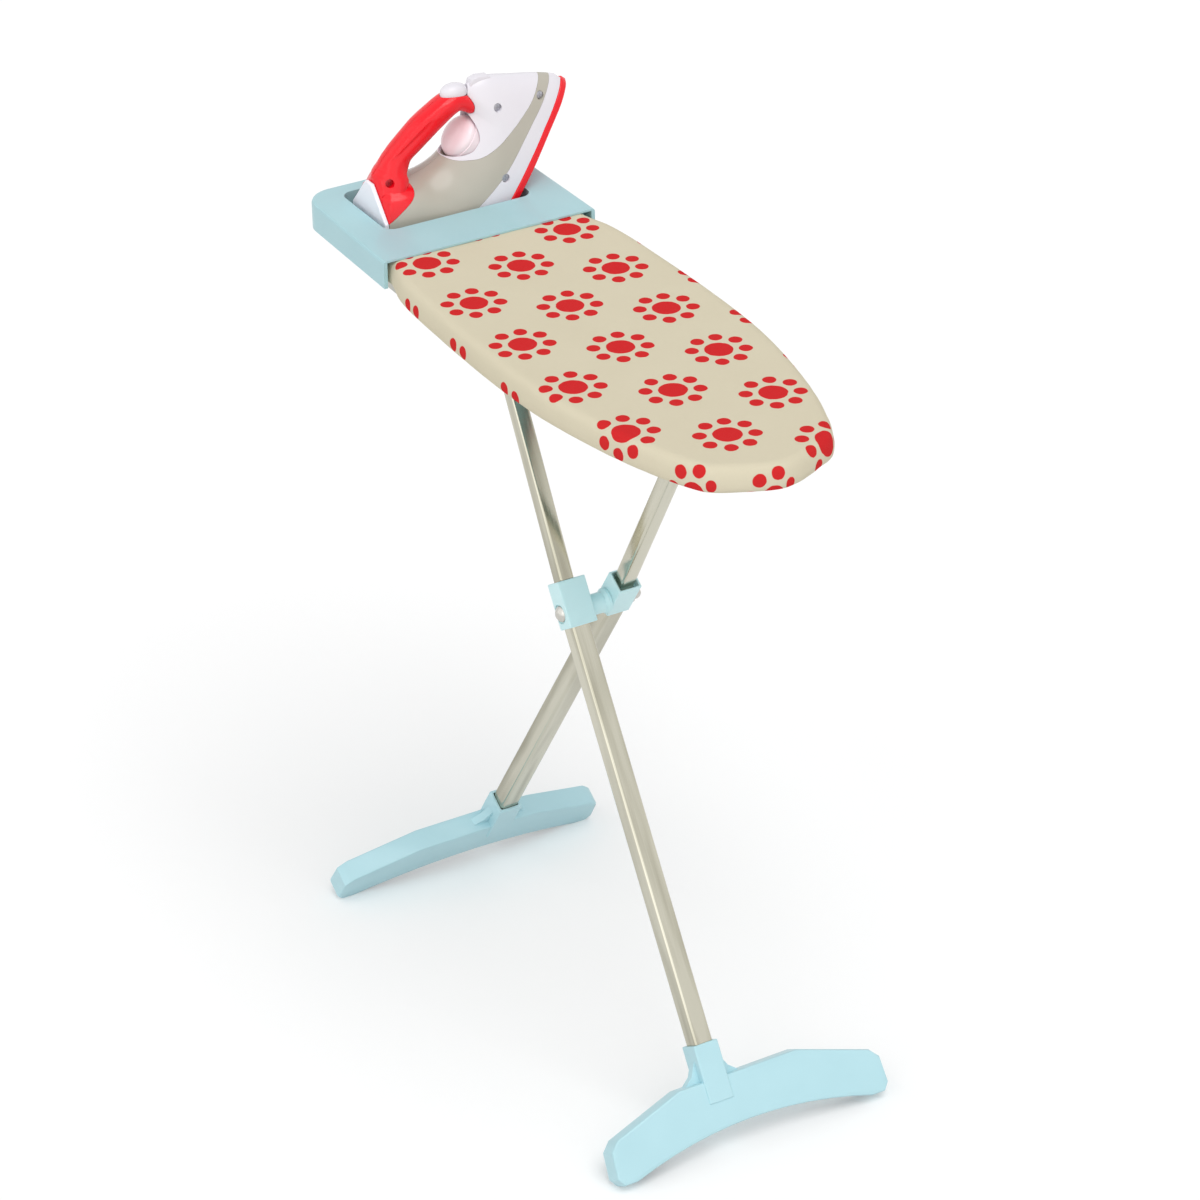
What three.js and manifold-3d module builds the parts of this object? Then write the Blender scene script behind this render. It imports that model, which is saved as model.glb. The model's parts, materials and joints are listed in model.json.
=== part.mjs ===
// Toy ironing board on crossed folding legs, with a toy iron standing in its rest.
// Millimetres. +Z is up, +X points to the nose of the board, and the origin is on the floor under its middle.

import * as THREE from 'three';
import { mergeVertices } from 'three/addons/utils/BufferGeometryUtils.js';
import Module from 'manifold-3d';

const wasm = await Module();
wasm.setup();

const radians = THREE.MathUtils.degToRad;

// Clearances and cutting
const gap = 0.3;
const overrun = 4;
const sheetRadius = 1.2;

// Board
const deckHeight = 639;
const coverLength = 452;
const coverHalfWidth = 106.9;
const coverTuck = 12;
const coverDrop = 21;
const hemWidth = 13;
const clothThickness = 1.3;
const padThickness = 6;
const boardOffset = 5;

// Deck panel
const panelThickness = 2.5;
const panelRimWall = 2.2;
const panelInset = 5.6;
const ribThickness = 1.8;
const ribDepth = 6;
const ribSpacing = 92;
const ribColumnSpacing = 44;
const bossRadius = 4.6;

// Iron rest tray
const trayLength = 150;
const trayHalfWidth = 98;
const trayBackHalfWidth = 96;
const trayCornerRadius = 25;
const trayLip = 2;
const trayWallHeight = 24;
const trayWall = 3.4;
const trayTop = 2.6;
const trayEdge = 2.6;
const bulkheadThickness = 2.6;
const recessLength = 136;
const recessWidth = 84;
const recessDepth = 20.5;
const recessCorner = 10;
const recessWall = 1.9;
const recessSetback = 50;
const lugWidth = 24;
const lugLength = 34;
const lugThickness = 2.2;
const lugSpacing = 120;

// Legs
const pivotFromSeam = 171.4;
const legHalfSpacing = 21.8;
const upperSlope = radians(60.8);
const lowerSlope = radians(57.1);
const upperTubeSize = 13.5;
const lowerTubeSize = 17;
const tubeWall = 1.2;
const upperTubeOffset = 1.1;
const lowerTubeOffset = 2.1;
const linkLength = 210;
const tubeEndMargin = 9;

// Leg joints
const jointAbovePivot = 25.6;
const jointBelowPivot = 13;
const jointWall = 1.5;
const jointOuterSide = 10.6;
const jointBossSide = 14.8;
const jointMouthDepth = 6;
const jointWeb = 2.3;
const lowerTubeAbovePivot = 8;
const bossNeckRadius = 8.8;
const bossFlareRadius = 11;
const bossFlareLength = 5;
const boltRadius = 3;
const boltHeadRadius = 7;
const boltHeadHeight = 4.2;
const boltRecessRadius = 8.4;
const boltRecessDepth = 1.2;
const washerRadius = 7.5;
const washerThickness = 1;
const nutRadius = 5.6;
const nutHeight = 4.6;
const nutDomeHeight = 4;

// Feet
const footHalfLength = 129;
const footToeRun = 5;
const footThickness = 20;
const footSole = 4.1;
const footContactLength = 12;
const footArchHeight = 21;
const footEndHeight = 33;
const footShoulderHeight = 61.5;
const footShoulderHalfLength = 56;
const footCornerRun = 9;
const footCornerRise = 8;
const footBevel = 2.6;
const footWall = 2.4;
const footPadLength = 16;
const socketSize = 22.4;
const socketHeight = 91.5;
const socketDepth = 45;
const gussetRun = 17;
const gussetRise = 18;
const gussetThickness = 7;

// Slide rail and hinge bracket under the board
const sheetThickness = 1.6;
const railInnerWidth = 17.2;
const railDrop = 10;
const railTopDrop = 23;
const pinDrop = 50.45;
const railEndMargin = 6;
const railTailWall = 2.6;
const pinRadius = 3;
const pinHeadRadius = 5.5;
const pinHeadThickness = 2.4;
const foldTravel = radians(52.5);
const slotClearance = 0.5;
const bracketLength = 44;
const bracketWidth = 46;
const bracketEyeRadius = 9;
const plugCap = 1.6;
const plugStem = 14;

// Screws
const screwRadius = 1.5;
const screwHeadRadius = 3.2;
const screwHeadHeight = 2;
const screwLength = 11;

// Iron, in its own frame: x runs along the sole to the tip, z away from the sole
const ironLean = radians(50.4);
const ironTipRise = 78;
const ironTipForward = 122.8;
const ironFromSeam = 92;
const ironLength = 192;
const ironHalfWidth = 37.5;
const soleThickness = 5;
const ironRearReach = 186;
const heelThickness = 3.6;
const heelHalfWidth = 29;
const heelFootHalfWidth = 31;
const heelPeak = 27.5;
const heelPeakHalfWidth = 5;
const dialSetback = 86.4;
const dialSeat = 50;
const dialRadius = 18.6;
const dialSkirt = 3.5;
const dialDome = 11;
const dialClearance = 0.5;
const buttonLength = 12;
const buttonWidth = 8.4;
const buttonSetback = 58;
const buttonHeight = 87.5;
const buttonTilt = radians(49.4);
const buttonDome = 7.6;
const buttonTravel = 2;
const nozzleHalfWidth = 4.6;
const screwWellRadius = 3.6;
const screwWellDepth = 2.6;

const plasticBlue = { color: 0xb4dee2, roughness: 0.42, metalness: 0 };
const panelBlue = { color: 0xa9d3d9, roughness: 0.5, metalness: 0 };
const cotton = { color: 0xd9d2b4, roughness: 0.92, metalness: 0 };
const foam = { color: 0xe8e4d8, roughness: 0.95, metalness: 0 };
const chrome = { color: 0xc2bdb0, roughness: 0.16, metalness: 1 };
const steel = { color: 0x9da2a4, roughness: 0.35, metalness: 1 };
const zinc = { color: 0xb6b8b8, roughness: 0.3, metalness: 1 };
const ironRed = { color: 0xe5263a, roughness: 0.25, metalness: 0 };
const ironWhite = { color: 0xece8ee, roughness: 0.3, metalness: 0 };
const ironGrey = { color: 0xc3c1b8, roughness: 0.35, metalness: 0 };
const dialWhite = { color: 0xf0e3e6, roughness: 0.3, metalness: 0 };
const darkSteel = { color: 0x8b8b8d, roughness: 0.4, metalness: 1 };
const plugGrey = { color: 0x55585a, roughness: 0.6, metalness: 0 };

// Solids: closed geometries become bodies that can be joined and cut.
function toSolid(geometry) {
  const bare = geometry.clone();
  bare.deleteAttribute('normal');
  bare.deleteAttribute('uv');
  const welded = mergeVertices(bare);
  return new wasm.Manifold(new wasm.Mesh({
    numProp: 3,
    vertProperties: Float32Array.from(welded.attributes.position.array),
    triVerts: Uint32Array.from(welded.index.array),
  }));
}

function joined(solids) {
  return solids.reduce((sum, solid) => sum.add(solid));
}

function cut(solid, cutters) {
  return cutters.reduce((rest, cutter) => rest.subtract(cutter), solid);
}

function piece(name, solid, look) {
  const mesh = solid.getMesh();
  const geometry = new THREE.BufferGeometry();
  geometry.setAttribute('position', new THREE.BufferAttribute(mesh.vertProperties, 3));
  geometry.setIndex(new THREE.BufferAttribute(mesh.triVerts, 1));
  geometry.computeVertexNormals();
  const result = new THREE.Mesh(geometry, new THREE.MeshStandardMaterial(look));
  result.name = name;
  return result;
}

// A box between two corners.
function block(x0, x1, y0, y1, z0, z1) {
  const geometry = new THREE.BoxGeometry(x1 - x0, y1 - y0, z1 - z0);
  geometry.translate((x0 + x1) / 2, (y0 + y1) / 2, (z0 + z1) / 2);
  return toSolid(geometry);
}

// An outline extruded upward from z0 to z1, with bevelled rims where a bevel is given.
function prism(shape, z0, z1, bevel = 0, steps = 2) {
  const geometry = new THREE.ExtrudeGeometry(shape, {
    depth: z1 - z0 - 2 * bevel,
    bevelEnabled: bevel > 0,
    bevelThickness: bevel,
    bevelSize: bevel,
    bevelOffset: -bevel,
    bevelSegments: bevel > sheetRadius ? 2 : 1,
    curveSegments: steps,
  });
  geometry.translate(0, 0, z0 + bevel);
  return geometry;
}

// The same outline drawn in X and Z, or in Y and Z, and extruded across.
function prismAcrossY(shape, y0, y1, bevel = 0, steps = 2) {
  const geometry = prism(shape, -y1, -y0, bevel, steps);
  geometry.rotateX(Math.PI / 2);
  return geometry;
}

function prismAcrossX(shape, x0, x1, bevel = 0, steps = 2) {
  const geometry = prism(shape, x0, x1, bevel, steps);
  geometry.applyMatrix4(new THREE.Matrix4().makeBasis(
    new THREE.Vector3(0, 1, 0),
    new THREE.Vector3(0, 0, 1),
    new THREE.Vector3(1, 0, 0),
  ));
  return geometry;
}

// A turned piece: radius and height pairs, from the axis back to the axis.
function turned(profile, segments = 14) {
  const points = profile.map(([radius, height]) => new THREE.Vector2(radius, height));
  const geometry = new THREE.LatheGeometry(points, segments);
  geometry.rotateX(Math.PI / 2);
  return geometry;
}

// The same piece with its axis along Y, pointing to +Y.
function turnedAlongY(profile, segments = 14) {
  const geometry = turned(profile, segments);
  geometry.rotateX(-Math.PI / 2);
  return geometry;
}

function rod(radius, z0, z1, segments = 14) {
  return turned([[0, z0], [radius, z0], [radius, z1], [0, z1]], segments);
}

function rodAlongY(radius, y0, y1, segments = 14) {
  return turnedAlongY([[0, y0], [radius, y0], [radius, y1], [0, y1]], segments);
}

function rectangle(x0, x1, y0, y1, radius = 0) {
  const shape = new THREE.Shape();
  if (radius === 0) {
    shape.moveTo(x0, y0).lineTo(x1, y0).lineTo(x1, y1).lineTo(x0, y1).closePath();
    return shape;
  }
  shape.absarc(x1 - radius, y0 + radius, radius, -Math.PI / 2, 0);
  shape.absarc(x1 - radius, y1 - radius, radius, 0, Math.PI / 2);
  shape.absarc(x0 + radius, y1 - radius, radius, Math.PI / 2, Math.PI);
  shape.absarc(x0 + radius, y0 + radius, radius, Math.PI, 1.5 * Math.PI);
  shape.closePath();
  return shape;
}

function polygon(points) {
  return new THREE.Shape(points.map(([x, y]) => new THREE.Vector2(x, y)));
}

// Skins a row of closed rings that all have as many points, and closes both ends with a fan.
function loft(rings) {
  const count = rings[0].length;
  const points = rings.flat();
  const faces = [];
  rings.slice(1).forEach((_, ring) => {
    for (let i = 0; i < count; i += 1) {
      const next = (i + 1) % count;
      const a = ring * count + i;
      const b = ring * count + next;
      faces.push(a, b, b + count, a, b + count, a + count);
    }
  });
  [0, rings.length - 1].forEach((ring) => {
    const middle = points.length;
    const centre = new THREE.Vector3();
    rings[ring].forEach((point) => centre.add(point));
    points.push(centre.divideScalar(count));
    for (let i = 0; i < count; i += 1) {
      const next = (i + 1) % count;
      const pair = ring === 0 ? [next, i] : [i, next];
      faces.push(middle, ring * count + pair[0], ring * count + pair[1]);
    }
  });
  let volume = 0;
  for (let i = 0; i < faces.length; i += 3) {
    const [a, b, c] = [points[faces[i]], points[faces[i + 1]], points[faces[i + 2]]];
    volume += a.dot(new THREE.Vector3().crossVectors(b, c));
  }
  const geometry = new THREE.BufferGeometry().setFromPoints(points);
  geometry.setIndex(volume < 0 ? faces.reverse() : faces);
  return geometry;
}

// A pan-head screw standing on z = 0 under its head, with the shank upward.
function screwAt(x, y, z) {
  const geometry = turned([
    [0, -screwHeadHeight],
    [screwHeadRadius * 0.6, -screwHeadHeight],
    [screwHeadRadius, -screwHeadHeight / 2],
    [screwHeadRadius, 0],
    [screwRadius, 0],
    [screwRadius, screwLength],
    [0, screwLength + screwRadius],
  ], 8);
  geometry.translate(x, y, z);
  return geometry;
}

// The square tube, standing on z0, with rounded corners and an open bore.
function squareTube(size, z0, z1) {
  const half = size / 2;
  const outer = rectangle(-half, half, -half, half, sheetRadius + tubeWall);
  const bore = half - tubeWall;
  const inner = rectangle(-bore, bore, -bore, bore, sheetRadius);
  return toSolid(prism(outer, z0, z1)).subtract(toSolid(prism(inner, z0 - overrun, z1 + overrun)));
}

// Levels under the board, from the top of the cloth down
const seamX = (trayLength - coverLength) / 2;
const padTop = deckHeight - clothThickness - gap;
const padBottom = padTop - padThickness;
const panelTop = padBottom - gap;
const panelUnder = panelTop - panelThickness;
const hemLevel = deckHeight - coverDrop;
const railTop = deckHeight - railTopDrop;

// Board outline: half-widths as shares of the widest, at shares of the length from the seam to the nose.
const outlineShares = [
  [0, 0.862], [0.02, 0.885], [0.055, 0.93], [0.11, 0.962], [0.195, 0.981], [0.383, 1],
  [0.555, 0.976], [0.708, 0.876], [0.832, 0.741], [0.925, 0.582], [0.951, 0.498], [0.9735, 0.325],
  [0.9845, 0.225], [0.994, 0.13],
];
const outlineSteps = 2;

function boardOutline() {
  const near = outlineShares.map(([along, across]) => [along * coverLength, -across * coverHalfWidth]);
  const far = near.map(([x, y]) => [x, -y]).reverse();
  const path = [...near, [coverLength, 0], ...far];
  const curve = new THREE.CatmullRomCurve3(path.map(([x, y]) => new THREE.Vector3(x, y, 0)), false, 'centripetal');
  const points = curve.getPoints((path.length - 1) * outlineSteps);
  const first = points[0].clone().setX(-coverTuck);
  const last = points[points.length - 1].clone().setX(-coverTuck);
  return [first, ...points, last];
}

// The outline drawn in by a distance, with mitred corners, at a height.
function ringAt(inset, z, outline = boardOutline()) {
  const count = outline.length;
  return outline.map((point, i) => {
    const before = outline[(i + count - 1) % count];
    const after = outline[(i + 1) % count];
    const inward = (from, to) => new THREE.Vector3(from.y - to.y, to.x - from.x, 0).normalize();
    const a = inward(before, point);
    const b = inward(point, after);
    const mitre = a.clone().add(b).divideScalar(1 + a.dot(b));
    return point.clone().addScaledVector(mitre, inset).setZ(z);
  });
}

function rings(levels) {
  return levels.map(([inset, z]) => ringAt(inset, z));
}

// Fabric cover: crowned shoulders, a skirt that bulges below them, and a hem turned in under the panel rim.
// Each level is an inset share of the hem width and a drop share of the skirt.
const coverOuterShares = [[0.72, 0], [0.42, 0.055], [0.2, 0.2], [0.06, 0.45], [0, 0.72], [0.06, 0.92], [0.22, 1]];
function makeCover() {
  const outer = coverOuterShares.map(([inset, drop]) => [inset * hemWidth, deckHeight - drop * coverDrop]);
  const hem = [[hemWidth, hemLevel], [hemWidth, hemLevel + clothThickness]];
  const inner = [...coverOuterShares].reverse().map(([inset, drop]) => [
    inset * hemWidth + clothThickness * (drop > 0 ? 1 : 0.3),
    Math.max(deckHeight - drop * coverDrop - clothThickness, hemLevel + clothThickness),
  ]);
  return piece('cover', toSolid(loft(rings([...outer, ...hem, ...inner.slice(1)]))), cotton);
}

// Foam pad: a thin cushion with a rounded upper rim.
function makePad() {
  const levels = [
    [panelInset + padThickness * 0.75, padTop],
    [panelInset + padThickness * 0.3, padTop - padThickness * 0.25],
    [panelInset, padTop - padThickness * 0.7],
    [panelInset, padBottom],
  ];
  return piece('foam_pad', toSolid(loft(rings(levels))), foam);
}

// Places of the screws: rail and bracket screws are given in the part's frame, lug screws in the board's.
const pinReach = { along: linkLength, off: upperTubeOffset };
const pinRun = pinReach.along * Math.cos(upperSlope) - pinReach.off * Math.sin(upperSlope);
const pinRise = pinReach.along * Math.sin(upperSlope) + pinReach.off * Math.cos(upperSlope);
const pivotX = seamX + pivotFromSeam;
const pinHeight = railTop - pinDrop;
const pivotHeight = pinHeight - pinRise;
const hingeX = pivotX + pinRun;
const slideX = pivotX - pinRun;
const linkRadius = Math.hypot(pinRun, pinRise);
const linkAngle = Math.atan2(pinRise, pinRun);
const slideEndX = hingeX - 2 * linkRadius * Math.cos(linkAngle - foldTravel);
const railX0 = slideEndX - pinRadius - slotClearance - railTailWall;
const railX1 = slideX + pinRadius + railEndMargin;
const railY = -legHalfSpacing;
const bracketY = legHalfSpacing;
const trayBackX = seamX - trayLength;
const railScrewXs = [
  trayBackX + trayWall + bossRadius + gap,
  seamX - bulkheadThickness - coverTuck - bossRadius - screwHeadRadius,
  seamX + screwLength + bossRadius,
  railX1 - screwHeadRadius - railEndMargin,
];
const bracketScrewRun = bracketLength / 2 - screwHeadRadius - gap;
const bracketScrewSide = bracketWidth / 2 - screwHeadRadius - gap;
const bracketScrews = [[-1, -1], [1, -1], [-1, 1], [1, 1]].map(([i, j]) => [
  hingeX + i * bracketScrewRun,
  bracketY + j * bracketScrewSide,
]);
const railScrews = railScrewXs.map((x) => [x, railY]);
const lugScrewX = lugLength - coverTuck - bossRadius - gap;
const lugScrews = [-1, 1].map((side) => [seamX + lugScrewX, boardOffset + side * lugSpacing / 2]);
const lugTop = hemLevel - gap;

// A round boss hanging from the panel or the tray, with a pilot hole for its screw.
function boss(x, y, z0, z1) {
  const geometry = rod(bossRadius, z0, z1, 12);
  geometry.translate(x, y, 0);
  return toSolid(geometry);
}

function pilot(x, y, z) {
  const geometry = rod(screwRadius + gap, z - overrun, z + screwLength + 2 * screwRadius, 8);
  geometry.translate(x, y, 0);
  return toSolid(geometry);
}

function movedToBoard([x, y]) {
  return [x - seamX, y - boardOffset];
}

// Deck panel: a thin plate with a down-turned rim, crossed ribs and screw bosses.
function makePanel() {
  const rimBottom = hemLevel + clothThickness + gap;
  const outer = toSolid(loft(rings([[panelInset, panelTop], [panelInset, rimBottom]])));
  const innerInset = panelInset + panelRimWall;
  const inner = toSolid(loft(rings([[innerInset, panelUnder], [innerInset, rimBottom - overrun]])));
  const ribField = toSolid(loft(rings([
    [panelInset + panelRimWall / 2, panelUnder + panelThickness / 2],
    [panelInset + panelRimWall / 2, panelUnder - ribDepth],
  ])));
  const halfRib = ribThickness / 2;
  const crossCount = Math.floor((coverLength + coverTuck) / ribSpacing);
  const crossRibs = Array.from({ length: crossCount }, (_, i) => {
    const x = (i + 0.5) * (coverLength + coverTuck) / crossCount - coverTuck;
    return block(x - halfRib, x + halfRib, -coverHalfWidth, coverHalfWidth, panelUnder - ribDepth, panelUnder);
  });
  const longRibs = [-1, 0, 1].map((column) => {
    const y = column * ribColumnSpacing;
    return block(-coverTuck, coverLength, y - halfRib, y + halfRib, panelUnder - ribDepth, panelUnder);
  });
  const ribs = joined([...crossRibs, ...longRibs]).intersect(ribField);
  const low = [...railScrews.slice(2), ...bracketScrews].map(movedToBoard);
  const lug = lugScrews.map(movedToBoard);
  const bosses = [
    ...low.map(([x, y]) => boss(x, y, railTop + gap, panelTop - panelThickness / 2)),
    ...lug.map(([x, y]) => boss(x, y, lugTop + gap, panelTop - panelThickness / 2)),
  ];
  const pilots = [
    ...low.map(([x, y]) => pilot(x, y, railTop - sheetThickness - gap)),
    ...lug.map(([x, y]) => pilot(x, y, lugTop - lugThickness - gap)),
  ];
  return piece('deck_panel', cut(joined([outer.subtract(inner), ribs, ...bosses]), pilots), panelBlue);
}

// Iron rest tray: a moulded cap over the end of the board, open below and toward the cover, with a sunk rest.
const trayTopZ = deckHeight + trayLip;
const trayBottomZ = trayTopZ - trayWallHeight;
const recessX0 = -recessSetback - recessWidth;

function trayOutline(inset, reach) {
  const x0 = -trayLength + inset;
  const back = trayBackHalfWidth - inset;
  const front = trayHalfWidth - inset;
  const radius = Math.max(trayCornerRadius - inset, recessCorner);
  const shape = new THREE.Shape();
  shape.moveTo(reach, -front);
  shape.lineTo(reach, front);
  shape.lineTo(x0 + radius, back);
  shape.absarc(x0 + radius, back - radius, radius, Math.PI / 2, Math.PI);
  shape.absarc(x0 + radius, radius - back, radius, Math.PI, 1.5 * Math.PI);
  shape.closePath();
  return shape;
}

function recessShape(grow) {
  const half = recessLength / 2 + grow;
  return rectangle(recessX0 - grow, -recessSetback + grow, -half, half, recessCorner + grow);
}

function makeTray() {
  const body = toSolid(prism(trayOutline(0, trayEdge + overrun), trayBottomZ - trayEdge, trayTopZ, trayEdge, 7));
  const trim = [
    block(-trayLength - overrun, overrun * 4, -coverHalfWidth, coverHalfWidth, trayBottomZ - overrun * 2, trayBottomZ),
    block(0, overrun * 4, -coverHalfWidth, coverHalfWidth, trayBottomZ - overrun, trayTopZ + overrun),
  ];
  const hollow = toSolid(prism(trayOutline(trayWall, -coverTuck - gap - bulkheadThickness), trayBottomZ - overrun,
    trayTopZ - trayTop, 0, 4));
  const mouth = block(-coverTuck - gap, overrun, trayWall - trayHalfWidth, trayHalfWidth - trayWall,
    trayBottomZ - overrun, deckHeight + gap);
  const tub = toSolid(prism(recessShape(recessWall), trayTopZ - recessDepth - recessWall, trayTopZ - trayTop / 2, 0, 4));
  const recess = toSolid(prism(recessShape(0), trayTopZ - recessDepth, trayTopZ + overrun, 0, 6));
  const halfRib = ribThickness / 2;
  const ribTop = trayTopZ - trayTop / 2;
  const ribBottom = trayTopZ - trayTop - 1.5 * ribDepth;
  const sideReach = trayBackHalfWidth - trayWall / 2;
  const ribs = [-1, 1].flatMap((side) => [0.28, 0.72].map((share) => {
    const x = recessX0 + share * recessWidth;
    const from = side * recessLength / 2;
    const to = side * sideReach;
    return block(x - halfRib, x + halfRib, Math.min(from, to), Math.max(from, to), ribBottom, ribTop);
  }));
  const frontRibs = [-0.3, 0.3].map((share) => {
    const y = share * recessLength;
    return block(-recessSetback, -coverTuck - gap, y - halfRib, y + halfRib, ribBottom, ribTop);
  });
  const lugs = [-1, 1].map((side) => {
    const y = side * lugSpacing / 2;
    return block(-coverTuck - gap - bulkheadThickness, lugLength - coverTuck, y - lugWidth / 2, y + lugWidth / 2,
      lugTop - lugThickness, lugTop);
  });
  const lugRoots = [-1, 1].map((side) => {
    const y = side * lugSpacing / 2;
    return block(-coverTuck - gap - bulkheadThickness, -coverTuck - gap, y - lugWidth / 2, y + lugWidth / 2,
      lugTop - lugThickness, lugTop + lugThickness);
  });
  const railBosses = railScrews.slice(0, 2).map(movedToBoard);
  const bosses = railBosses.map(([x, y]) => boss(x, y, railTop + gap, trayTopZ - trayTop / 2));
  const pilots = [
    ...railBosses.map(([x, y]) => pilot(x, y, railTop - sheetThickness - gap)),
    ...lugScrews.map(movedToBoard).map(([x, y]) => pilot(x, y, lugTop - lugThickness - gap)),
  ];
  const shell = cut(body, [...trim, hollow, mouth]);
  const whole = joined([shell, tub, ...ribs, ...frontRibs, ...bosses, ...lugs, ...lugRoots]);
  return piece('iron_rest_tray', cut(whole, [recess, ...pilots]), plasticBlue);
}

function makeBoard() {
  const board = new THREE.Group();
  board.position.set(seamX, boardOffset, 0);
  board.add(makeCover(), makePad(), makePanel(), makeTray());
  return board;
}

// Slide rail: a folded channel with a straight slot in each side, in which the front leg's pin runs.
const railOuter = railInnerWidth / 2 + sheetThickness;
const slotHalfHeight = pinRadius + slotClearance;

function channelProfile(y, z0, z1) {
  const shape = new THREE.Shape();
  shape.moveTo(y - railOuter, z0);
  shape.lineTo(y - railOuter, z1);
  shape.lineTo(y + railOuter, z1);
  shape.lineTo(y + railOuter, z0);
  shape.lineTo(y + railInnerWidth / 2, z0);
  shape.lineTo(y + railInnerWidth / 2, z1 - sheetThickness);
  shape.lineTo(y - railInnerWidth / 2, z1 - sheetThickness);
  shape.lineTo(y - railInnerWidth / 2, z0);
  shape.closePath();
  return shape;
}

function makeRail() {
  const channel = toSolid(prismAcrossX(channelProfile(railY, pinHeight - railDrop, railTop), railX0, railX1));
  const slotShape = rectangle(slideEndX - slotHalfHeight, slideX + slotHalfHeight, pinHeight - slotHalfHeight,
    pinHeight + slotHalfHeight, slotHalfHeight - slotClearance / 2);
  const slot = toSolid(prismAcrossY(slotShape, railY - railOuter - overrun, railY + railOuter + overrun, 0, 4));
  const holes = railScrews.map(([x, y]) => pilot(x, y, railTop - sheetThickness));
  return piece('slide_rail', cut(channel, [slot, ...holes]), steel);
}

// Hinge bracket: two tapered ears that hang from a screwed plate and carry the rear leg's pin.
function earShape() {
  const shape = new THREE.Shape();
  const top = railTop - sheetThickness / 2;
  shape.moveTo(hingeX - bracketLength / 2, top);
  shape.lineTo(hingeX - bracketEyeRadius, pinHeight);
  shape.absarc(hingeX, pinHeight, bracketEyeRadius, Math.PI, 2 * Math.PI);
  shape.lineTo(hingeX + bracketLength / 2, top);
  shape.closePath();
  return shape;
}

function makeBracket() {
  const inner = railInnerWidth / 2;
  const ears = [-1, 1].map((side) => {
    const near = bracketY + side * inner;
    const far = bracketY + side * railOuter;
    return toSolid(prismAcrossY(earShape(), Math.min(near, far), Math.max(near, far), 0, 10));
  });
  const halfLength = bracketLength / 2;
  const plate = block(hingeX - halfLength, hingeX + halfLength, bracketY - bracketWidth / 2,
    bracketY + bracketWidth / 2, railTop - sheetThickness, railTop);
  const eye = rodAlongY(pinRadius + gap, bracketY - railOuter - overrun, bracketY + railOuter + overrun);
  eye.translate(hingeX, 0, pinHeight);
  const holes = bracketScrews.map(([x, y]) => pilot(x, y, railTop - sheetThickness));
  return piece('hinge_bracket', cut(joined([plate, ...ears]), [toSolid(eye), ...holes]), steel);
}

// A cross pin with a head at each end, outside the two side walls that it passes through.
function crossPin() {
  const inside = railOuter + gap;
  const outside = inside + pinHeadThickness;
  const chamfer = pinHeadThickness / 4;
  return turnedAlongY([
    [0, -outside],
    [pinHeadRadius - chamfer, -outside],
    [pinHeadRadius, -outside + chamfer],
    [pinHeadRadius, -inside],
    [pinRadius, -inside],
    [pinRadius, inside],
    [pinHeadRadius, inside],
    [pinHeadRadius, outside - chamfer],
    [pinHeadRadius - chamfer, outside],
    [0, outside],
  ]);
}

function makeHingePin() {
  const geometry = crossPin();
  geometry.translate(hingeX, bracketY, pinHeight);
  return piece('hinge_pin', toSolid(geometry), zinc);
}

function makeDeckScrews() {
  const screws = [
    ...railScrews.map(([x, y]) => screwAt(x, y, railTop - sheetThickness - gap)),
    ...bracketScrews.map(([x, y]) => screwAt(x, y, railTop - sheetThickness - gap)),
    ...lugScrews.map(([x, y]) => screwAt(x, y, lugTop - lugThickness - gap)),
  ];
  return screws.map((screw, i) => piece(`deck_screw_${i + 1}`, toSolid(screw), zinc));
}

// Legs. Each leg's frame has its origin on the pivot and z up along the lower tube.
// The side is +1 for the front leg, whose outer face looks to +X, and -1 for the rear leg.
const footReach = (pivotHeight + lowerTubeOffset * Math.cos(lowerSlope)) / Math.sin(lowerSlope);
const legTilt = Math.PI / 2 - lowerSlope;
const kink = upperSlope - lowerSlope;
const jointHalfDepth = lowerTubeSize / 2 + gap + jointWall;
const upperTubeStart = lowerTubeAbovePivot + gap + jointWeb + gap;

function makeUpperTube(name, side) {
  const tube = squareTube(upperTubeSize, upperTubeStart, linkLength + tubeEndMargin);
  const hole = rodAlongY(pinRadius + gap, -upperTubeSize, upperTubeSize);
  hole.translate(0, 0, linkLength);
  const mesh = piece(name, tube.subtract(toSolid(hole)), chrome);
  mesh.position.set(side * upperTubeOffset, 0, 0);
  return mesh;
}

// Plug: a square stem in the end of the upper tube under a thin cap, bored for the pin.
function makePlug(name, side) {
  const half = upperTubeSize / 2;
  const stem = half - tubeWall - gap;
  const top = linkLength + tubeEndMargin + gap;
  const cap = prism(rectangle(-half, half, -half, half, sheetRadius + tubeWall), top, top + plugCap);
  const post = prism(rectangle(-stem, stem, -stem, stem, sheetRadius), top - plugStem, top + plugCap / 2);
  const hole = rodAlongY(pinRadius + gap, -upperTubeSize, upperTubeSize);
  hole.translate(0, 0, linkLength);
  const mesh = piece(name, joined([toSolid(cap), toSolid(post)]).subtract(toSolid(hole)), plugGrey);
  mesh.position.set(side * upperTubeOffset, 0, 0);
  return mesh;
}

function makeLowerTube(name, side) {
  const tube = squareTube(lowerTubeSize, socketDepth + gap - footReach, lowerTubeAbovePivot);
  const hole = rodAlongY(boltRadius + gap, -lowerTubeSize, lowerTubeSize);
  hole.translate(-side * lowerTubeOffset, 0, 0);
  const mesh = piece(name, tube.subtract(toSolid(hole)), chrome);
  mesh.position.set(side * lowerTubeOffset, 0, 0);
  return mesh;
}

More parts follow.
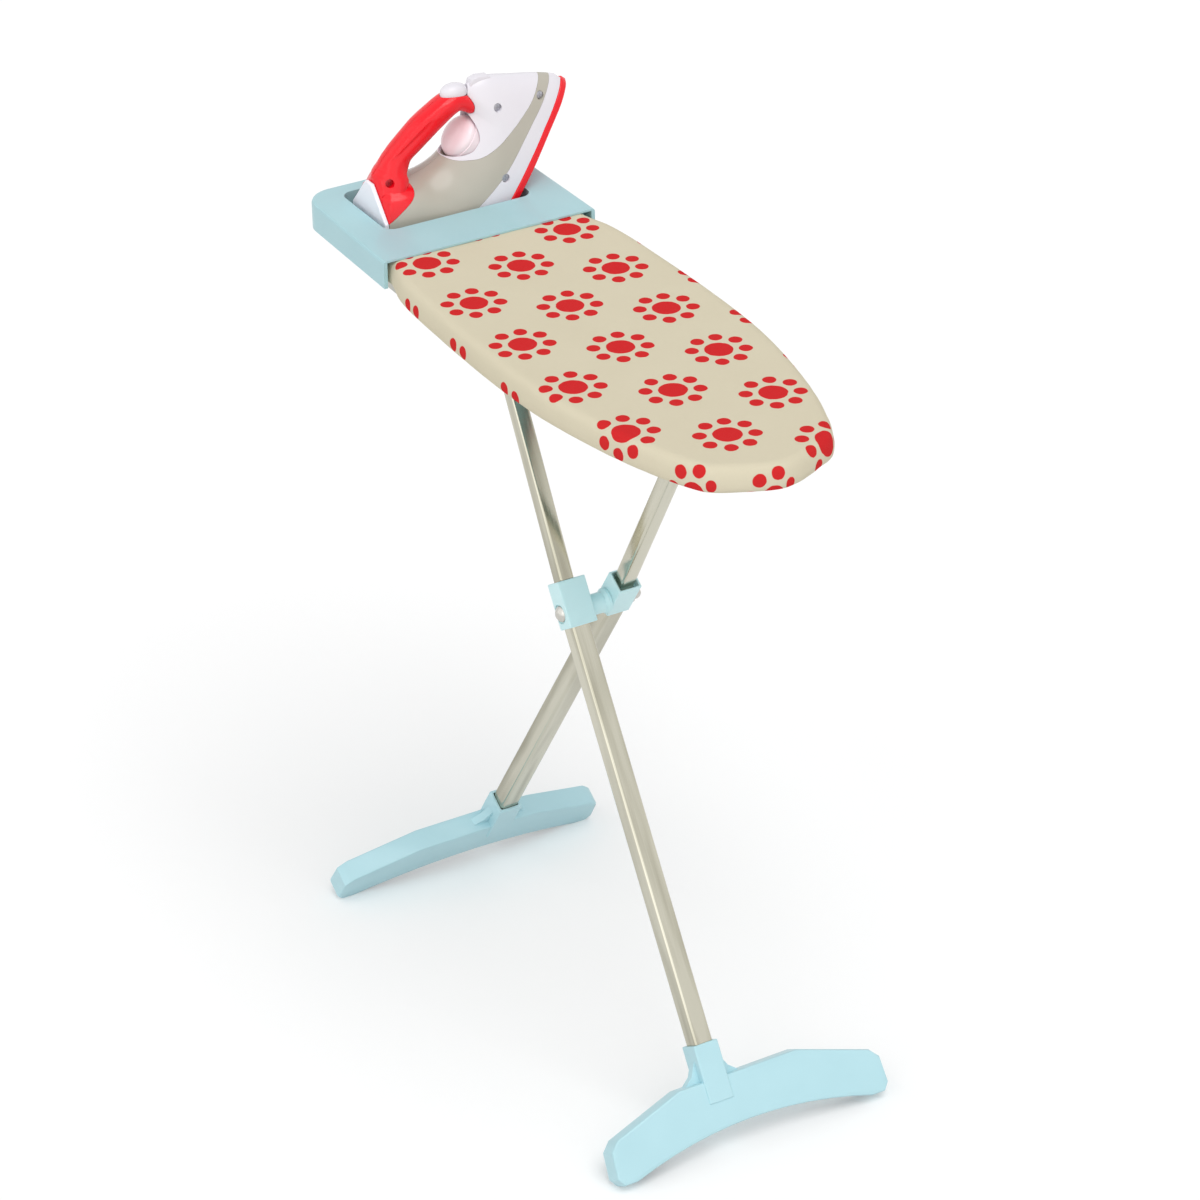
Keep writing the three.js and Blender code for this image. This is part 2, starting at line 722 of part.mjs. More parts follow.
// Leg joint: a moulded sleeve with a wide mouth for the thin tube and a socket for the thick one.
// The front one carries the round boss that holds the legs apart.
function makeJoint(name, side, yNear, yFar, bossLength) {
  const x = side * lowerTubeOffset;
  const outline = rectangle(x - jointHalfDepth, x + jointHalfDepth, yNear, yFar, sheetRadius);
  const sleeve = toSolid(prism(outline, -jointBelowPivot, jointAbovePivot, sheetRadius / 2));
  const bore = lowerTubeSize / 2 + gap;
  const boreShape = rectangle(x - bore, x + bore, -bore, bore, sheetRadius);
  const socket = prism(boreShape, -jointBelowPivot - overrun, lowerTubeAbovePivot + gap);
  const mouth = prism(boreShape, jointAbovePivot - jointMouthDepth, jointAbovePivot + overrun);
  const throatHalf = upperTubeSize / 2 + gap;
  const offset = side * upperTubeOffset;
  const throat = prism(rectangle(offset - throatHalf, offset + throatHalf, -throatHalf, throatHalf, sheetRadius),
    upperTubeStart - gap, jointAbovePivot + overrun);
  throat.rotateY(side * kink);
  const hole = rodAlongY(boltRadius + gap, yNear - overrun, yFar + bossLength + overrun);
  const recess = rodAlongY(boltRecessRadius, yNear - overrun, yNear + boltRecessDepth);
  const cutters = [socket, mouth, throat, hole].map(toSolid);
  if (bossLength === 0) {
    return piece(name, cut(sleeve, cutters), plasticBlue);
  }
  const bossSolid = turnedAlongY([
    [0, yFar - sheetRadius],
    [bossNeckRadius, yFar - sheetRadius],
    [bossNeckRadius, yFar + bossLength - bossFlareLength],
    [bossFlareRadius, yFar + bossLength - bossFlareLength / 2],
    [bossFlareRadius, yFar + bossLength],
    [0, yFar + bossLength],
  ], 18);
  return piece(name, cut(joined([sleeve, toSolid(bossSolid)]), [...cutters, toSolid(recess)]), plasticBlue);
}

// Foot: an arched hollow blade with a square socket off its middle and a gusset on each side of the socket.
const footPadHalfLength = footHalfLength - footToeRun;
const footArchHalfSpan = footPadHalfLength - footContactLength;

function footShape() {
  const shape = new THREE.Shape();
  const cornerLength = footHalfLength - footCornerRun;
  const cornerHeight = footEndHeight + footCornerRise;
  const endHeight = footSole + footBevel + footCornerRise / 2;
  const archControl = 2 * footArchHeight - footSole;
  shape.moveTo(-footPadHalfLength, footSole);
  shape.lineTo(-footArchHalfSpan, footSole);
  shape.quadraticCurveTo(0, archControl, footArchHalfSpan, footSole);
  shape.lineTo(footPadHalfLength, footSole);
  shape.lineTo(footHalfLength, endHeight);
  shape.lineTo(footHalfLength - footBevel / 2, footEndHeight);
  shape.lineTo(cornerLength, cornerHeight);
  shape.lineTo(footShoulderHalfLength, footShoulderHeight);
  shape.lineTo(-footShoulderHalfLength, footShoulderHeight);
  shape.lineTo(-cornerLength, cornerHeight);
  shape.lineTo(footBevel / 2 - footHalfLength, footEndHeight);
  shape.lineTo(-footHalfLength, endHeight);
  shape.closePath();
  return shape;
}

function footCavity(y0, y1) {
  const archControl = 2 * footArchHeight - footSole;
  const top = footShoulderHeight - 1.5 * footWall;
  const cornerLength = footHalfLength - footCornerRun;
  const slope = (footShoulderHeight - footEndHeight - footCornerRise) / (cornerLength - footShoulderHalfLength);
  const roof = (y) => top - Math.max(0, Math.abs(y) - footShoulderHalfLength) * slope;
  const breaks = [y0, -footShoulderHalfLength, footShoulderHalfLength, y1].filter((y) => y >= y0 && y <= y1);
  const upper = [...new Set(breaks)].map((y) => [y, roof(y)]).reverse();
  return polygon([[y0, footSole - archControl], [y1, footSole - archControl], ...upper]);
}

function makeFoot(name, side, legY) {
  const half = footThickness / 2;
  const x = side * lowerTubeOffset;
  const base = -footReach;
  const lift = (geometry) => toSolid(geometry.translate(x, -legY, base));
  const blade = lift(prismAcrossX(footShape(), -half, half, footBevel, 12));
  const wall = half - footWall;
  const socketHalf = socketSize / 2;
  const ribHalf = ribThickness / 2;
  const solidEnd = footPadHalfLength - footPadLength;
  const stops = [-solidEnd, legY - socketHalf - ribHalf, legY + socketHalf + ribHalf, solidEnd];
  const bays = [
    [stops[0], (stops[0] + stops[1]) / 2 - ribHalf],
    [(stops[0] + stops[1]) / 2 + ribHalf, stops[1]],
    [stops[2], (stops[2] + stops[3]) / 2 - ribHalf],
    [(stops[2] + stops[3]) / 2 + ribHalf, stops[3]],
  ].map(([y0, y1]) => lift(prismAcrossX(footCavity(y0, y1), -wall, wall)));
  const socketShape = rectangle(x - socketHalf, x + socketHalf, -socketHalf, socketHalf, sheetRadius);
  const socket = toSolid(prism(socketShape, base + socketDepth - footWall, base + socketHeight, sheetRadius / 2));
  const gussets = [-1, 1].map((across) => lift(prismAcrossX(polygon([
    [legY + across * (socketHalf - footWall), footShoulderHeight - footWall],
    [legY + across * (socketHalf - footWall), footShoulderHeight + gussetRise],
    [legY + across * socketHalf, footShoulderHeight + gussetRise],
    [legY + across * (socketHalf + gussetRun * 0.35), footShoulderHeight + gussetRise * 0.35],
    [legY + across * (socketHalf + gussetRun), footShoulderHeight - footWall],
  ]), -gussetThickness / 2, gussetThickness / 2)));
  const bore = lowerTubeSize / 2 + gap;
  const tubeBore = toSolid(prism(rectangle(x - bore, x + bore, -bore, bore, sheetRadius),
    base + socketDepth, base + socketHeight + overrun));
  const floor = new THREE.BoxGeometry(4 * pivotHeight, 3 * footHalfLength, footHalfLength);
  floor.translate(0, -legY, -pivotHeight - footHalfLength / 2);
  floor.rotateY(side * legTilt);
  return piece(name, cut(joined([cut(blade, bays), socket, ...gussets]), [tubeBore, toSolid(floor)]), plasticBlue);
}

// Two screws on the leg's back face: one in the joint, one in the foot's socket.
function makeLegScrews(name, side) {
  const back = -1;
  const socketFace = side * lowerTubeOffset + back * (socketSize / 2 + gap);
  const jointFace = side * lowerTubeOffset + back * (jointHalfDepth + gap);
  const places = [
    [socketFace, -footReach + footShoulderHeight + gussetRise],
    [jointFace, jointAbovePivot - jointMouthDepth - screwHeadRadius],
  ];
  return places.map(([x, z], i) => {
    const geometry = turned([
      [0, -screwHeadHeight],
      [screwHeadRadius * 0.6, -screwHeadHeight],
      [screwHeadRadius, -screwHeadHeight / 2],
      [screwHeadRadius, 0],
      [0, 0],
    ], 8);
    geometry.rotateY(-back * Math.PI / 2);
    geometry.translate(x, 0, z);
    return piece(`${name}_${i + 1}`, toSolid(geometry), zinc);
  });
}

// Pivot: a domed bolt through both joints, with a washer and a cap nut behind the rear leg.
function makePivot() {
  const head = -jointOuterSide + boltRecessDepth - gap;
  const rearFace = 2 * legHalfSpacing + jointOuterSide;
  const washerStart = rearFace + gap;
  const nutStart = washerStart + washerThickness + gap;
  const end = nutStart + nutHeight;
  const bolt = turnedAlongY([
    [0, head - boltHeadHeight],
    [boltHeadRadius * 0.5, head - boltHeadHeight * 0.88],
    [boltHeadRadius * 0.85, head - boltHeadHeight * 0.5],
    [boltHeadRadius, head - boltHeadHeight * 0.1],
    [boltHeadRadius, head],
    [boltRadius, head],
    [boltRadius, end],
    [0, end],
  ], 16);
  const washer = toSolid(rodAlongY(washerRadius, washerStart, washerStart + washerThickness, 16));
  const washerHole = toSolid(rodAlongY(boltRadius + gap, washerStart - overrun, washerStart + overrun));
  const nutBody = turnedAlongY([
    [0, nutStart],
    [nutRadius, nutStart],
    [nutRadius, nutStart + nutHeight],
    [nutRadius * 0.8, nutStart + nutHeight + nutDomeHeight * 0.6],
    [0, nutStart + nutHeight + nutDomeHeight],
  ], 6);
  const nutBore = toSolid(rodAlongY(boltRadius + gap, nutStart - overrun, end + gap));
  return [
    piece('pivot_bolt', toSolid(bolt), zinc),
    piece('pivot_washer', washer.subtract(washerHole), zinc),
    piece('pivot_nut', toSolid(nutBody).subtract(nutBore), zinc),
  ];
}

function makeLeg(prefix, side) {
  const legY = -side * legHalfSpacing;
  const bossLength = side > 0 ? 2 * legHalfSpacing - jointOuterSide - jointBossSide - gap : 0;
  const leg = new THREE.Group();
  leg.position.set(pivotX, legY, pivotHeight);
  leg.rotation.y = -side * legTilt;
  const upper = new THREE.Group();
  upper.rotation.y = side * kink;
  upper.add(makeUpperTube(`${prefix}_upper_tube`, side), makePlug(`${prefix}_tube_plug`, side));
  leg.add(
    upper,
    makeLowerTube(`${prefix}_lower_tube`, side),
    makeJoint(`${prefix}_joint`, side, -jointOuterSide, side > 0 ? jointBossSide : jointOuterSide, bossLength),
    makeFoot(`${prefix}_foot`, side, legY),
    ...makeLegScrews(`${prefix}_screw`, side),
  );
  if (side > 0) {
    const pin = piece('slide_pin', toSolid(crossPin()), zinc);
    pin.position.set(side * upperTubeOffset, 0, linkLength);
    upper.add(pin);
    leg.add(...makePivot());
  }
  return leg;
}

// Iron. Its frame has the tip of the sole at the origin; the standing frame is the same one set upright.
const ironFromStanding = new THREE.Matrix4()
  .makeRotationX(ironLean)
  .multiply(new THREE.Matrix4().makeRotationZ(Math.PI / 2))
  .invert();
const restLevel = deckHeight + trayLip - recessDepth + gap;
const tipLevel = deckHeight + ironTipRise;
const restDepth = tipLevel - restLevel;

function standing(geometry) {
  return toSolid(geometry.applyMatrix4(ironFromStanding));
}

function standingBlock(y0, y1, z0, z1) {
  const geometry = new THREE.BoxGeometry(4 * ironHalfWidth, y1 - y0, z1 - z0);
  geometry.translate(0, (y0 + y1) / 2, (z0 + z1) / 2);
  return standing(geometry);
}

// Body sections from the nose to the heel. Setback is a share of the iron's length, half-width and height are
// shares of its half-width, and the last number is the roundness of the section.
const bodySectionShares = [
  [0.008, 0.06, 0.18, 1.8], [0.03, 0.17, 0.44, 1.8], [0.062, 0.28, 0.76, 1.8], [0.114, 0.4, 1.23, 1.8],
  [0.169, 0.5, 1.72, 1.8], [0.219, 0.57, 1.97, 1.8], [0.271, 0.65, 2.02, 1.8], [0.313, 0.71, 1.86, 1.8],
  [0.349, 0.755, 1.71, 1.85], [0.448, 0.865, 1.68, 1.9], [0.547, 0.945, 1.79, 1.95], [0.625, 0.985, 1.89, 2],
  [0.703, 1, 2.08, 2.3], [0.781, 1, 2.53, 3], [0.859, 0.985, 2.7, 3.3], [0.938, 0.95, 2.8, 3.3],
  [1.03, 0.92, 2.88, 3.3],
];
const bodySides = 20;

function arched(halfWidth, height, roundness, angle) {
  const power = 2 / roundness;
  const across = Math.sign(Math.cos(angle)) * Math.abs(Math.cos(angle)) ** power;
  return [across * halfWidth, Math.sin(angle) ** power * height];
}

function bodyRings(grow) {
  return bodySectionShares.map(([setback, width, height, roundness]) => {
    const x = -setback * ironLength;
    return Array.from({ length: bodySides + 1 }, (_, i) => {
      const angle = Math.PI * i / bodySides;
      const [y, z] = arched(width * ironHalfWidth + grow, height * ironHalfWidth + grow, roundness, angle);
      return new THREE.Vector3(x, y, soleThickness + gap - grow + z);
    });
  });
}

// Half-width of the body at a place on its side.
function bodySide(setback, height) {
  const share = setback / ironLength;
  const after = bodySectionShares.findIndex(([place]) => place > share);
  const [a, b] = [bodySectionShares[after - 1], bodySectionShares[after]];
  const mix = (share - a[0]) / (b[0] - a[0]);
  const [, width, top, roundness] = a.map((value, i) => value + (b[i] - value) * mix);
  const level = (height - soleThickness) / (top * ironHalfWidth);
  return width * ironHalfWidth * (1 - level ** roundness) ** (1 / roundness);
}

// Handle sections along its bent middle line: setback share of the length, height, half-height and half-width
// shares of the half-width, and how far the sides lean in toward the top.
const handleSectionShares = [
  [0.318, 1.6, 0.15, 0.24, 0], [0.316, 1.86, 0.17, 0.28, 0], [0.324, 2.14, 0.22, 0.3, 0],
  [0.36, 2.32, 0.25, 0.32, 0], [0.437, 2.42, 0.253, 0.32, 0], [0.505, 2.48, 0.258, 0.32, 0],
  [0.573, 2.56, 0.256, 0.32, 0], [0.635, 2.64, 0.256, 0.32, 0], [0.677, 2.65, 0.285, 0.34, 0],
  [0.708, 2.64, 0.32, 0.43, 0.18], [0.74, 2.6, 0.37, 0.6, 0.42], [0.781, 2.59, 0.38, 0.73, 0.62],
  [0.833, 2.63, 0.36, 0.78, 0.7], [0.911, 2.68, 0.33, 0.82, 0.72], [0.99, 2.7, 0.32, 0.84, 0.72],
];
const handleSides = 16;
const handleRoundness = 2.4;

function handleRings(grow) {
  const middle = handleSectionShares.map(([setback, height]) => new THREE.Vector3(
    -setback * ironLength,
    0,
    height * ironHalfWidth,
  ));
  return handleSectionShares.map(([, , halfHeight, halfWidth, lean], i) => {
    const before = middle[Math.max(i - 1, 0)];
    const after = middle[Math.min(i + 1, middle.length - 1)];
    const along = after.clone().sub(before).normalize();
    const outward = new THREE.Vector3(along.z, 0, -along.x);
    return Array.from({ length: handleSides }, (_, k) => {
      const angle = 2 * Math.PI * k / handleSides;
      const power = 2 / handleRoundness;
      const across = Math.sign(Math.cos(angle)) * Math.abs(Math.cos(angle)) ** power;
      const up = Math.sign(Math.sin(angle)) * Math.abs(Math.sin(angle)) ** power;
      const narrowing = 1 - lean * (1 + up) / 2;
      return middle[i].clone()
        .addScaledVector(outward, up * (halfHeight * ironHalfWidth + grow))
        .add(new THREE.Vector3(0, across * (halfWidth * narrowing * ironHalfWidth + grow), 0));
    });
  });
}

// Side-view lines between the colours: setback share of the length, height share of the half-width.
const bandLineShares = [[-0.05, 0.47], [0.03, 0.455], [0.135, 0.455], [0.29, 0.505], [0.474, 0.55], [0.66, 0.75], [0.85, 1.05]];
const noseLineShares = [
  [-0.05, 0.72], [0.055, 0.69], [0.164, 0.67], [0.294, 0.85], [0.39, 1.02], [0.461, 1.22], [0.5, 1.42],
  [0.533, 1.64], [0.553, 1.9],
];

function lineOf(shares, shift) {
  const curve = new THREE.SplineCurve(shares.map(([setback, height]) => new THREE.Vector2(
    -setback * ironLength,
    height * ironHalfWidth + shift,
  )));
  return curve.getPoints((shares.length - 1) * 2).map(({ x, y }) => [x, y]);
}

function sideCut(points) {
  return toSolid(prismAcrossY(polygon(points), -2 * ironHalfWidth, 2 * ironHalfWidth));
}

// Everything on the nose side of the nose line, and everything under the band line.
function noseRegion(shift) {
  const line = lineOf(noseLineShares, shift);
  const last = line[line.length - 1];
  return sideCut([[ironHalfWidth, line[0][1]], ...line, [last[0], 4 * ironHalfWidth], [ironHalfWidth, 4 * ironHalfWidth]]);
}

function bandRegion(shift) {
  const line = lineOf(bandLineShares, shift);
  const last = line[line.length - 1];
  return sideCut([[ironHalfWidth, line[0][1]], ...line, [last[0], -ironHalfWidth], [ironHalfWidth, -ironHalfWidth]]);
}

function halves(solid) {
  const far = 2 * ironLength;
  const right = solid.intersect(block(-far, far, -far, -gap / 2, -far, far));
  const left = solid.intersect(block(-far, far, gap / 2, far, -far, far));
  return { right, left };
}

// Soleplate outline from above: setback shares of the length and half-width shares.
const soleShares = [
  [0, 0], [0.008, 0.08], [0.02, 0.155], [0.047, 0.255], [0.1, 0.39], [0.219, 0.575], [0.4, 0.83], [0.55, 0.96],
  [0.64, 1], [0.72, 1],
];

function makeSole(trim) {
  const points = soleShares.map(([setback, width]) => [-setback * ironLength, width * ironHalfWidth]);
  const mirrored = points.slice(1).map(([x, y]) => [x, -y]).reverse();
  const plate = toSolid(prism(polygon([...mirrored, ...points]), 0, soleThickness, soleThickness / 5));
  return piece('iron_soleplate', cut(plate, trim), ironRed);
}

// Heel: the gabled rear plate that the iron stands against, vertical while the iron stands.
function makeHeel(trim) {
  const peak = ironTipRise - heelPeak;
  const shape = polygon([
    [-heelFootHalfWidth, -restDepth],
    [heelFootHalfWidth, -restDepth],
    [heelHalfWidth, -ironTipRise + gap],
    [heelPeakHalfWidth, -peak],
    [-heelPeakHalfWidth, -peak],
    [-heelHalfWidth, -ironTipRise + gap],
  ]);
  const plate = standing(prismAcrossY(shape, -ironRearReach, heelThickness - ironRearReach, heelThickness / 6));
  return piece('iron_heel', cut(plate, trim), ironWhite);
}

// Dial: a smooth dome that turns in a round pocket under the front of the handle.
function dialPocket() {
  const geometry = rod(dialRadius + dialClearance, dialSeat, dialSeat + 2 * ironHalfWidth, 32);
  geometry.translate(-dialSetback, 0, 0);
  return toSolid(geometry);
}

function makeDial() {
  const seat = dialSeat + gap;
  const geometry = turned([
    [0, seat],
    [dialRadius, seat],
    [dialRadius, seat + dialSkirt],
    [dialRadius * 0.93, seat + dialSkirt + dialDome * 0.42],
    [dialRadius * 0.76, seat + dialSkirt + dialDome * 0.72],
    [dialRadius * 0.45, seat + dialSkirt + dialDome * 0.93],
    [0, seat + dialSkirt + dialDome],
  ], 32);
  geometry.translate(-dialSetback, 0, 0);
  return piece('iron_dial', toSolid(geometry), dialWhite);
}

// Steam button: an oval dome in the bend of the handle, pressed along its own axis.
function onHandleBend(geometry) {
  geometry.rotateY(buttonTilt);
  geometry.translate(-buttonSetback, 0, buttonHeight);
  return toSolid(geometry);
}

function ovalRod(grow, z0, z1) {
  const geometry = rod(1, z0, z1, 20);
  geometry.scale(buttonLength + grow, buttonWidth + grow, 1);
  return geometry;
}

function makeButton() {
  const dome = turned([
    [0, -buttonTravel],
    [1, -buttonTravel],
    [1, buttonDome * 0.1],
    [0.93, buttonDome * 0.42],
    [0.7, buttonDome * 0.76],
    [0.38, buttonDome * 0.94],
    [0, buttonDome],
  ], 20);
  dome.scale(buttonLength, buttonWidth, 1);
  return piece('iron_steam_button', onHandleBend(dome), ironWhite);
}

// Nozzle: a small snout on the ridge in front of the button.
const nozzleShares = [[0.165, 1.66], [0.163, 1.86], [0.19, 2.07], [0.219, 2.17], [0.245, 2.12], [0.262, 1.98], [0.27, 1.7]];
function makeNozzle(bodyGrown) {
  const points = nozzleShares.map(([setback, height]) => [-setback * ironLength, height * ironHalfWidth]);
  const snout = toSolid(prismAcrossY(polygon(points), -nozzleHalfWidth, nozzleHalfWidth, nozzleHalfWidth / 3));
  return snout.subtract(bodyGrown);
}

// Screws sunk in wells on the right-hand side of the body and of the handle.
const bodyScrewShares = [[0.257, 1.42], [0.117, 0.575], [0.492, 0.51]];
function makeSideScrews() {
  return bodyScrewShares.map(([setback, height]) => {
    const x = -setback * ironLength;
    const z = height * ironHalfWidth;
    const side = bodySide(-x, z);
    const well = rodAlongY(screwWellRadius, -side - overrun, -side + screwWellDepth, 16);
    const head = turnedAlongY([
      [0, -side + screwWellDepth / 2],
      [screwHeadRadius, -side + screwWellDepth / 2],
      [screwHeadRadius, -side + screwWellDepth - gap],
      [0, -side + screwWellDepth - gap],
    ], 16);
    return { well: toSolid(well.translate(x, 0, z)), head: toSolid(head.translate(x, 0, z)) };
  });
}

function makeIron() {
  const behind = standingBlock(-2 * ironLength, heelThickness + gap - ironRearReach, -2 * ironLength, ironLength);
  const below = standingBlock(-2 * ironLength, ironLength, -2 * ironLength, -restDepth);
  const handleGrown = toSolid(loft(handleRings(gap)));
  const bodyGrown = toSolid(loft(bodyRings(gap)));
  const pocket = dialPocket();
  const screws = makeSideScrews();
  const wells = screws.map(({ well }) => well);
  const bendPocket = onHandleBend(ovalRod(gap, -2 * buttonTravel - gap, 4 * buttonDome));
  const body = cut(toSolid(loft(bodyRings(0))), [behind, below, handleGrown, pocket, bendPocket, ...wells]);
  const base = body.intersect(bandRegion(-gap / 2));
  const nose = body.intersect(noseRegion(gap / 2));
  const shell = cut(body, [bandRegion(gap / 2), noseRegion(-gap / 2)]);
  const handle = cut(toSolid(loft(handleRings(0))), [behind, below, cutFront(bodyGrown), bendPocket]);
  const nozzle = cut(makeNozzle(bodyGrown), [handleGrown]);
  const noseHalves = halves(nose);
  const shellHalves = halves(shell);
  const handleHalves = halves(handle);
  const iron = new THREE.Group();
  iron.position.set(seamX - ironFromSeam, boardOffset + ironTipForward, tipLevel);
  iron.rotation.set(ironLean, 0, Math.PI / 2);
  iron.add(
    makeSole([below]),
    piece('iron_base', base, ironWhite),
    piece('iron_nose_right', noseHalves.right, ironWhite),
    piece('iron_nose_left', noseHalves.left, ironWhite),
    piece('iron_shell_right', shellHalves.right, ironGrey),
    piece('iron_shell_left', shellHalves.left, ironGrey),
    piece('iron_handle_right', handleHalves.right, ironRed),
    piece('iron_handle_left', handleHalves.left, ironRed),
    makeHeel([below]),
    makeDial(),
    makeButton(),
    piece('iron_nozzle', nozzle, ironWhite),
    ...screws.map(({ head }, i) => piece(`iron_side_screw_${i + 1}`, head, darkSteel)),
  );
  return iron;
}

// Only the nose end of the handle is cut by the body; at the rear the body gives way to the handle.
function cutFront(bodyGrown) {
  const far = 2 * ironLength;
  return bodyGrown.intersect(block(-dialSetback, far, -far, far, -far, far));
}

const model = new THREE.Group();
model.add(
  makeBoard(),
  makeRail(),
  makeBracket(),
  makeHingePin(),
  ...makeDeckScrews(),
  makeLeg('front_leg', 1),
  makeLeg('rear_leg', -1),
  makeIron(),
);

export default model;
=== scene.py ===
"""Toy ironing board on crossed folding legs, with a toy iron standing in its rest."""
import json
import math

import bmesh
import bpy
from mathutils import Matrix, Vector

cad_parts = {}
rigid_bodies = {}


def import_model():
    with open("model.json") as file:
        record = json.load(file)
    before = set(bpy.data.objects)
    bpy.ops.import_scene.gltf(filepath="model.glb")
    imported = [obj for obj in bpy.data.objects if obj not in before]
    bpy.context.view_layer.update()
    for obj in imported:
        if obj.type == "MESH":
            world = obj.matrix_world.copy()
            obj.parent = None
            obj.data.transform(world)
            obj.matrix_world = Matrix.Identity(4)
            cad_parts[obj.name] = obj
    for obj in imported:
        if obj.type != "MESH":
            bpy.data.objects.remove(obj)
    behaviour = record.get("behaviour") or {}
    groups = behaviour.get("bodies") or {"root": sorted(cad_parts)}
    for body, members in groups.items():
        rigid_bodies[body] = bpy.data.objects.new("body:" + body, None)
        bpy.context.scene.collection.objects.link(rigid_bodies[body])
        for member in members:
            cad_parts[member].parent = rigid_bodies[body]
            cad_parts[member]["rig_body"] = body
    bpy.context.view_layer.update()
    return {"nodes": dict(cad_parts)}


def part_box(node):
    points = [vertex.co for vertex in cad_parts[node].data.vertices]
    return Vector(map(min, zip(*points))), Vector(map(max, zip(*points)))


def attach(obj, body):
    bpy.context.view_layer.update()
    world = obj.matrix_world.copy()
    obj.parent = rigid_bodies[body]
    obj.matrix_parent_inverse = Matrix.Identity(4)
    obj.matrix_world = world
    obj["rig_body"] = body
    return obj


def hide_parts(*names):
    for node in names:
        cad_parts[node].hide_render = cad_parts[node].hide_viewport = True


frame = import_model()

mm = 0.001


# Photo studio: a seamless pale floor, an even bright room and three soft lamps, one nearly overhead.
# The floor is matt board that glows just enough to read as white and still takes the shadows.
class Field:
    """A number that varies over a surface. Arithmetic on it adds Math nodes to its material."""

    def __init__(self, tree, socket):
        self.tree = tree
        self.socket = socket

    def maths(self, operation, *others, first=None):
        """One Math node on this number and the others. A first value comes before this number."""
        node = self.tree.nodes.new("ShaderNodeMath")
        node.operation = operation
        values = [self, *others] if first is None else [first, self]
        for place, value in enumerate(values):
            if isinstance(value, Field):
                self.tree.links.new(value.socket, node.inputs[place])
            else:
                node.inputs[place].default_value = value
        return Field(self.tree, node.outputs[0])

    def __add__(self, other):
        return self.maths("ADD", other)

    __radd__ = __add__

    def __sub__(self, other):
        return self.maths("SUBTRACT", other)

    def __rsub__(self, other):
        return self.maths("SUBTRACT", first=other)

    def __mul__(self, other):
        return self.maths("MULTIPLY", other)

    __rmul__ = __mul__

    def __truediv__(self, other):
        return self.maths("DIVIDE", other)

    def __pow__(self, other):
        return self.maths("POWER", other)

    def step(self, edge, softness):
        """One well below the edge, zero well above it, and a straight ramp between."""
        ramp = (edge + softness - self) / (2 * softness)
        return ramp.maths("MAXIMUM", 0).maths("MINIMUM", 1)


class Finish:
    """A material, or the light of a room, that is being mixed. Every node but Math comes from node()."""

    def __init__(self, name, room=None):
        self.material = room or bpy.data.materials.new(name)
        self.material.use_nodes = True
        self.tree = self.material.node_tree
        self.shader = self.tree.nodes.get("Principled BSDF")

    def node(self, kind, values=None, out=0, **settings):
        """A node: its settings are made first, then its sockets' values or links. Stops are in order."""
        made = self.tree.nodes.new(kind)
        for setting, value in settings.items():
            if setting == "stops":
                for place, (position, colour) in enumerate(value):
                    if place > 1:
                        made.color_ramp.elements.new(position)
                    made.color_ramp.elements[place].position = position
                    made.color_ramp.elements[place].color = colour
            else:
                setattr(made, setting, value)
        for socket, value in (values or {}).items():
            self.plug(made.inputs[socket], value)
        return Field(self.tree, made.outputs[out])

    def plug(self, socket, value):
        if isinstance(value, Field):
            self.tree.links.new(value.socket, socket)
        else:
            socket.default_value = value

    def surface(self, **sockets):
        for socket, value in sockets.items():
            self.plug(self.shader.inputs[socket.replace("_", " ")], value)
        return self.material

    def unlit(self):
        """One for rays from the camera, a mirror or a clear piece, and zero for rays of light."""
        seen, mirrored, through = [
            self.node("ShaderNodeLightPath", out=f"Is {kind} Ray")
            for kind in ("Camera", "Glossy", "Transmission")
        ]
        return seen.maths("MAXIMUM", mirrored).maths("MAXIMUM", through)

    def place(self, turn=(0, 0, 0), stretch=(1, 1, 1)):
        """A point in the piece's own coordinates, for a pattern that is turned and drawn out."""
        point = self.node("ShaderNodeTexCoord", out="Object")
        values = {"Vector": point, "Rotation": turn, "Scale": stretch}
        return self.node("ShaderNodeMapping", values, vector_type="TEXTURE")

    def noise(self, point, size, detail=3, rough=0.5):
        """Soft blotches about as wide as the size, from 0 to 1."""
        values = {"Vector": point, "Scale": 1 / size, "Detail": detail, "Roughness": rough}
        return self.node("ShaderNodeTexNoise", values, out="Fac")

    def mix(self, share, start, end):
        """A colour between start and end."""
        values = {"Factor": share, 6: start, 7: end}
        return self.node("ShaderNodeMix", values, out=2, data_type="RGBA")

    def bump(self, height, depth, strength=1.0):
        return self.node("ShaderNodeBump", {"Height": height, "Distance": depth, "Strength": strength})


def paint(red, green, blue):
    """A colour as a paint chart gives it, 0 to 255, in the numbers that the shader takes."""
    def linear(value):
        share = value / 255
        return share / 12.92 if share <= 0.04045 else ((share + 0.055) / 1.055) ** 2.4
    return (linear(red), linear(green), linear(blue), 1)


camera_data = bpy.data.cameras.new("product_camera")
camera_data.lens = 132.39
camera_data.sensor_width = 36
camera_data.clip_start = 0.05
camera_data.clip_end = 60
camera = bpy.data.objects.new("product_camera", camera_data)
camera.location = (2.70096, -1.53629, 2.18313)
camera.rotation_euler = [math.radians(angle) for angle in (59.80479, 0.5661, 59.7743)]
bpy.context.scene.collection.objects.link(camera)
bpy.context.scene.camera = camera


def soft_lamp(name, direction, strength, spread):
    """A far lamp whose light comes from the given direction, with soft shadows."""
    lamp = bpy.data.lights.new(name, "SUN")
    lamp.energy = strength
    lamp.angle = math.radians(spread)
    holder = bpy.data.objects.new(name, lamp)
    holder.rotation_euler = Vector(direction).to_track_quat("Z", "Y").to_euler()
    bpy.context.scene.collection.objects.link(holder)


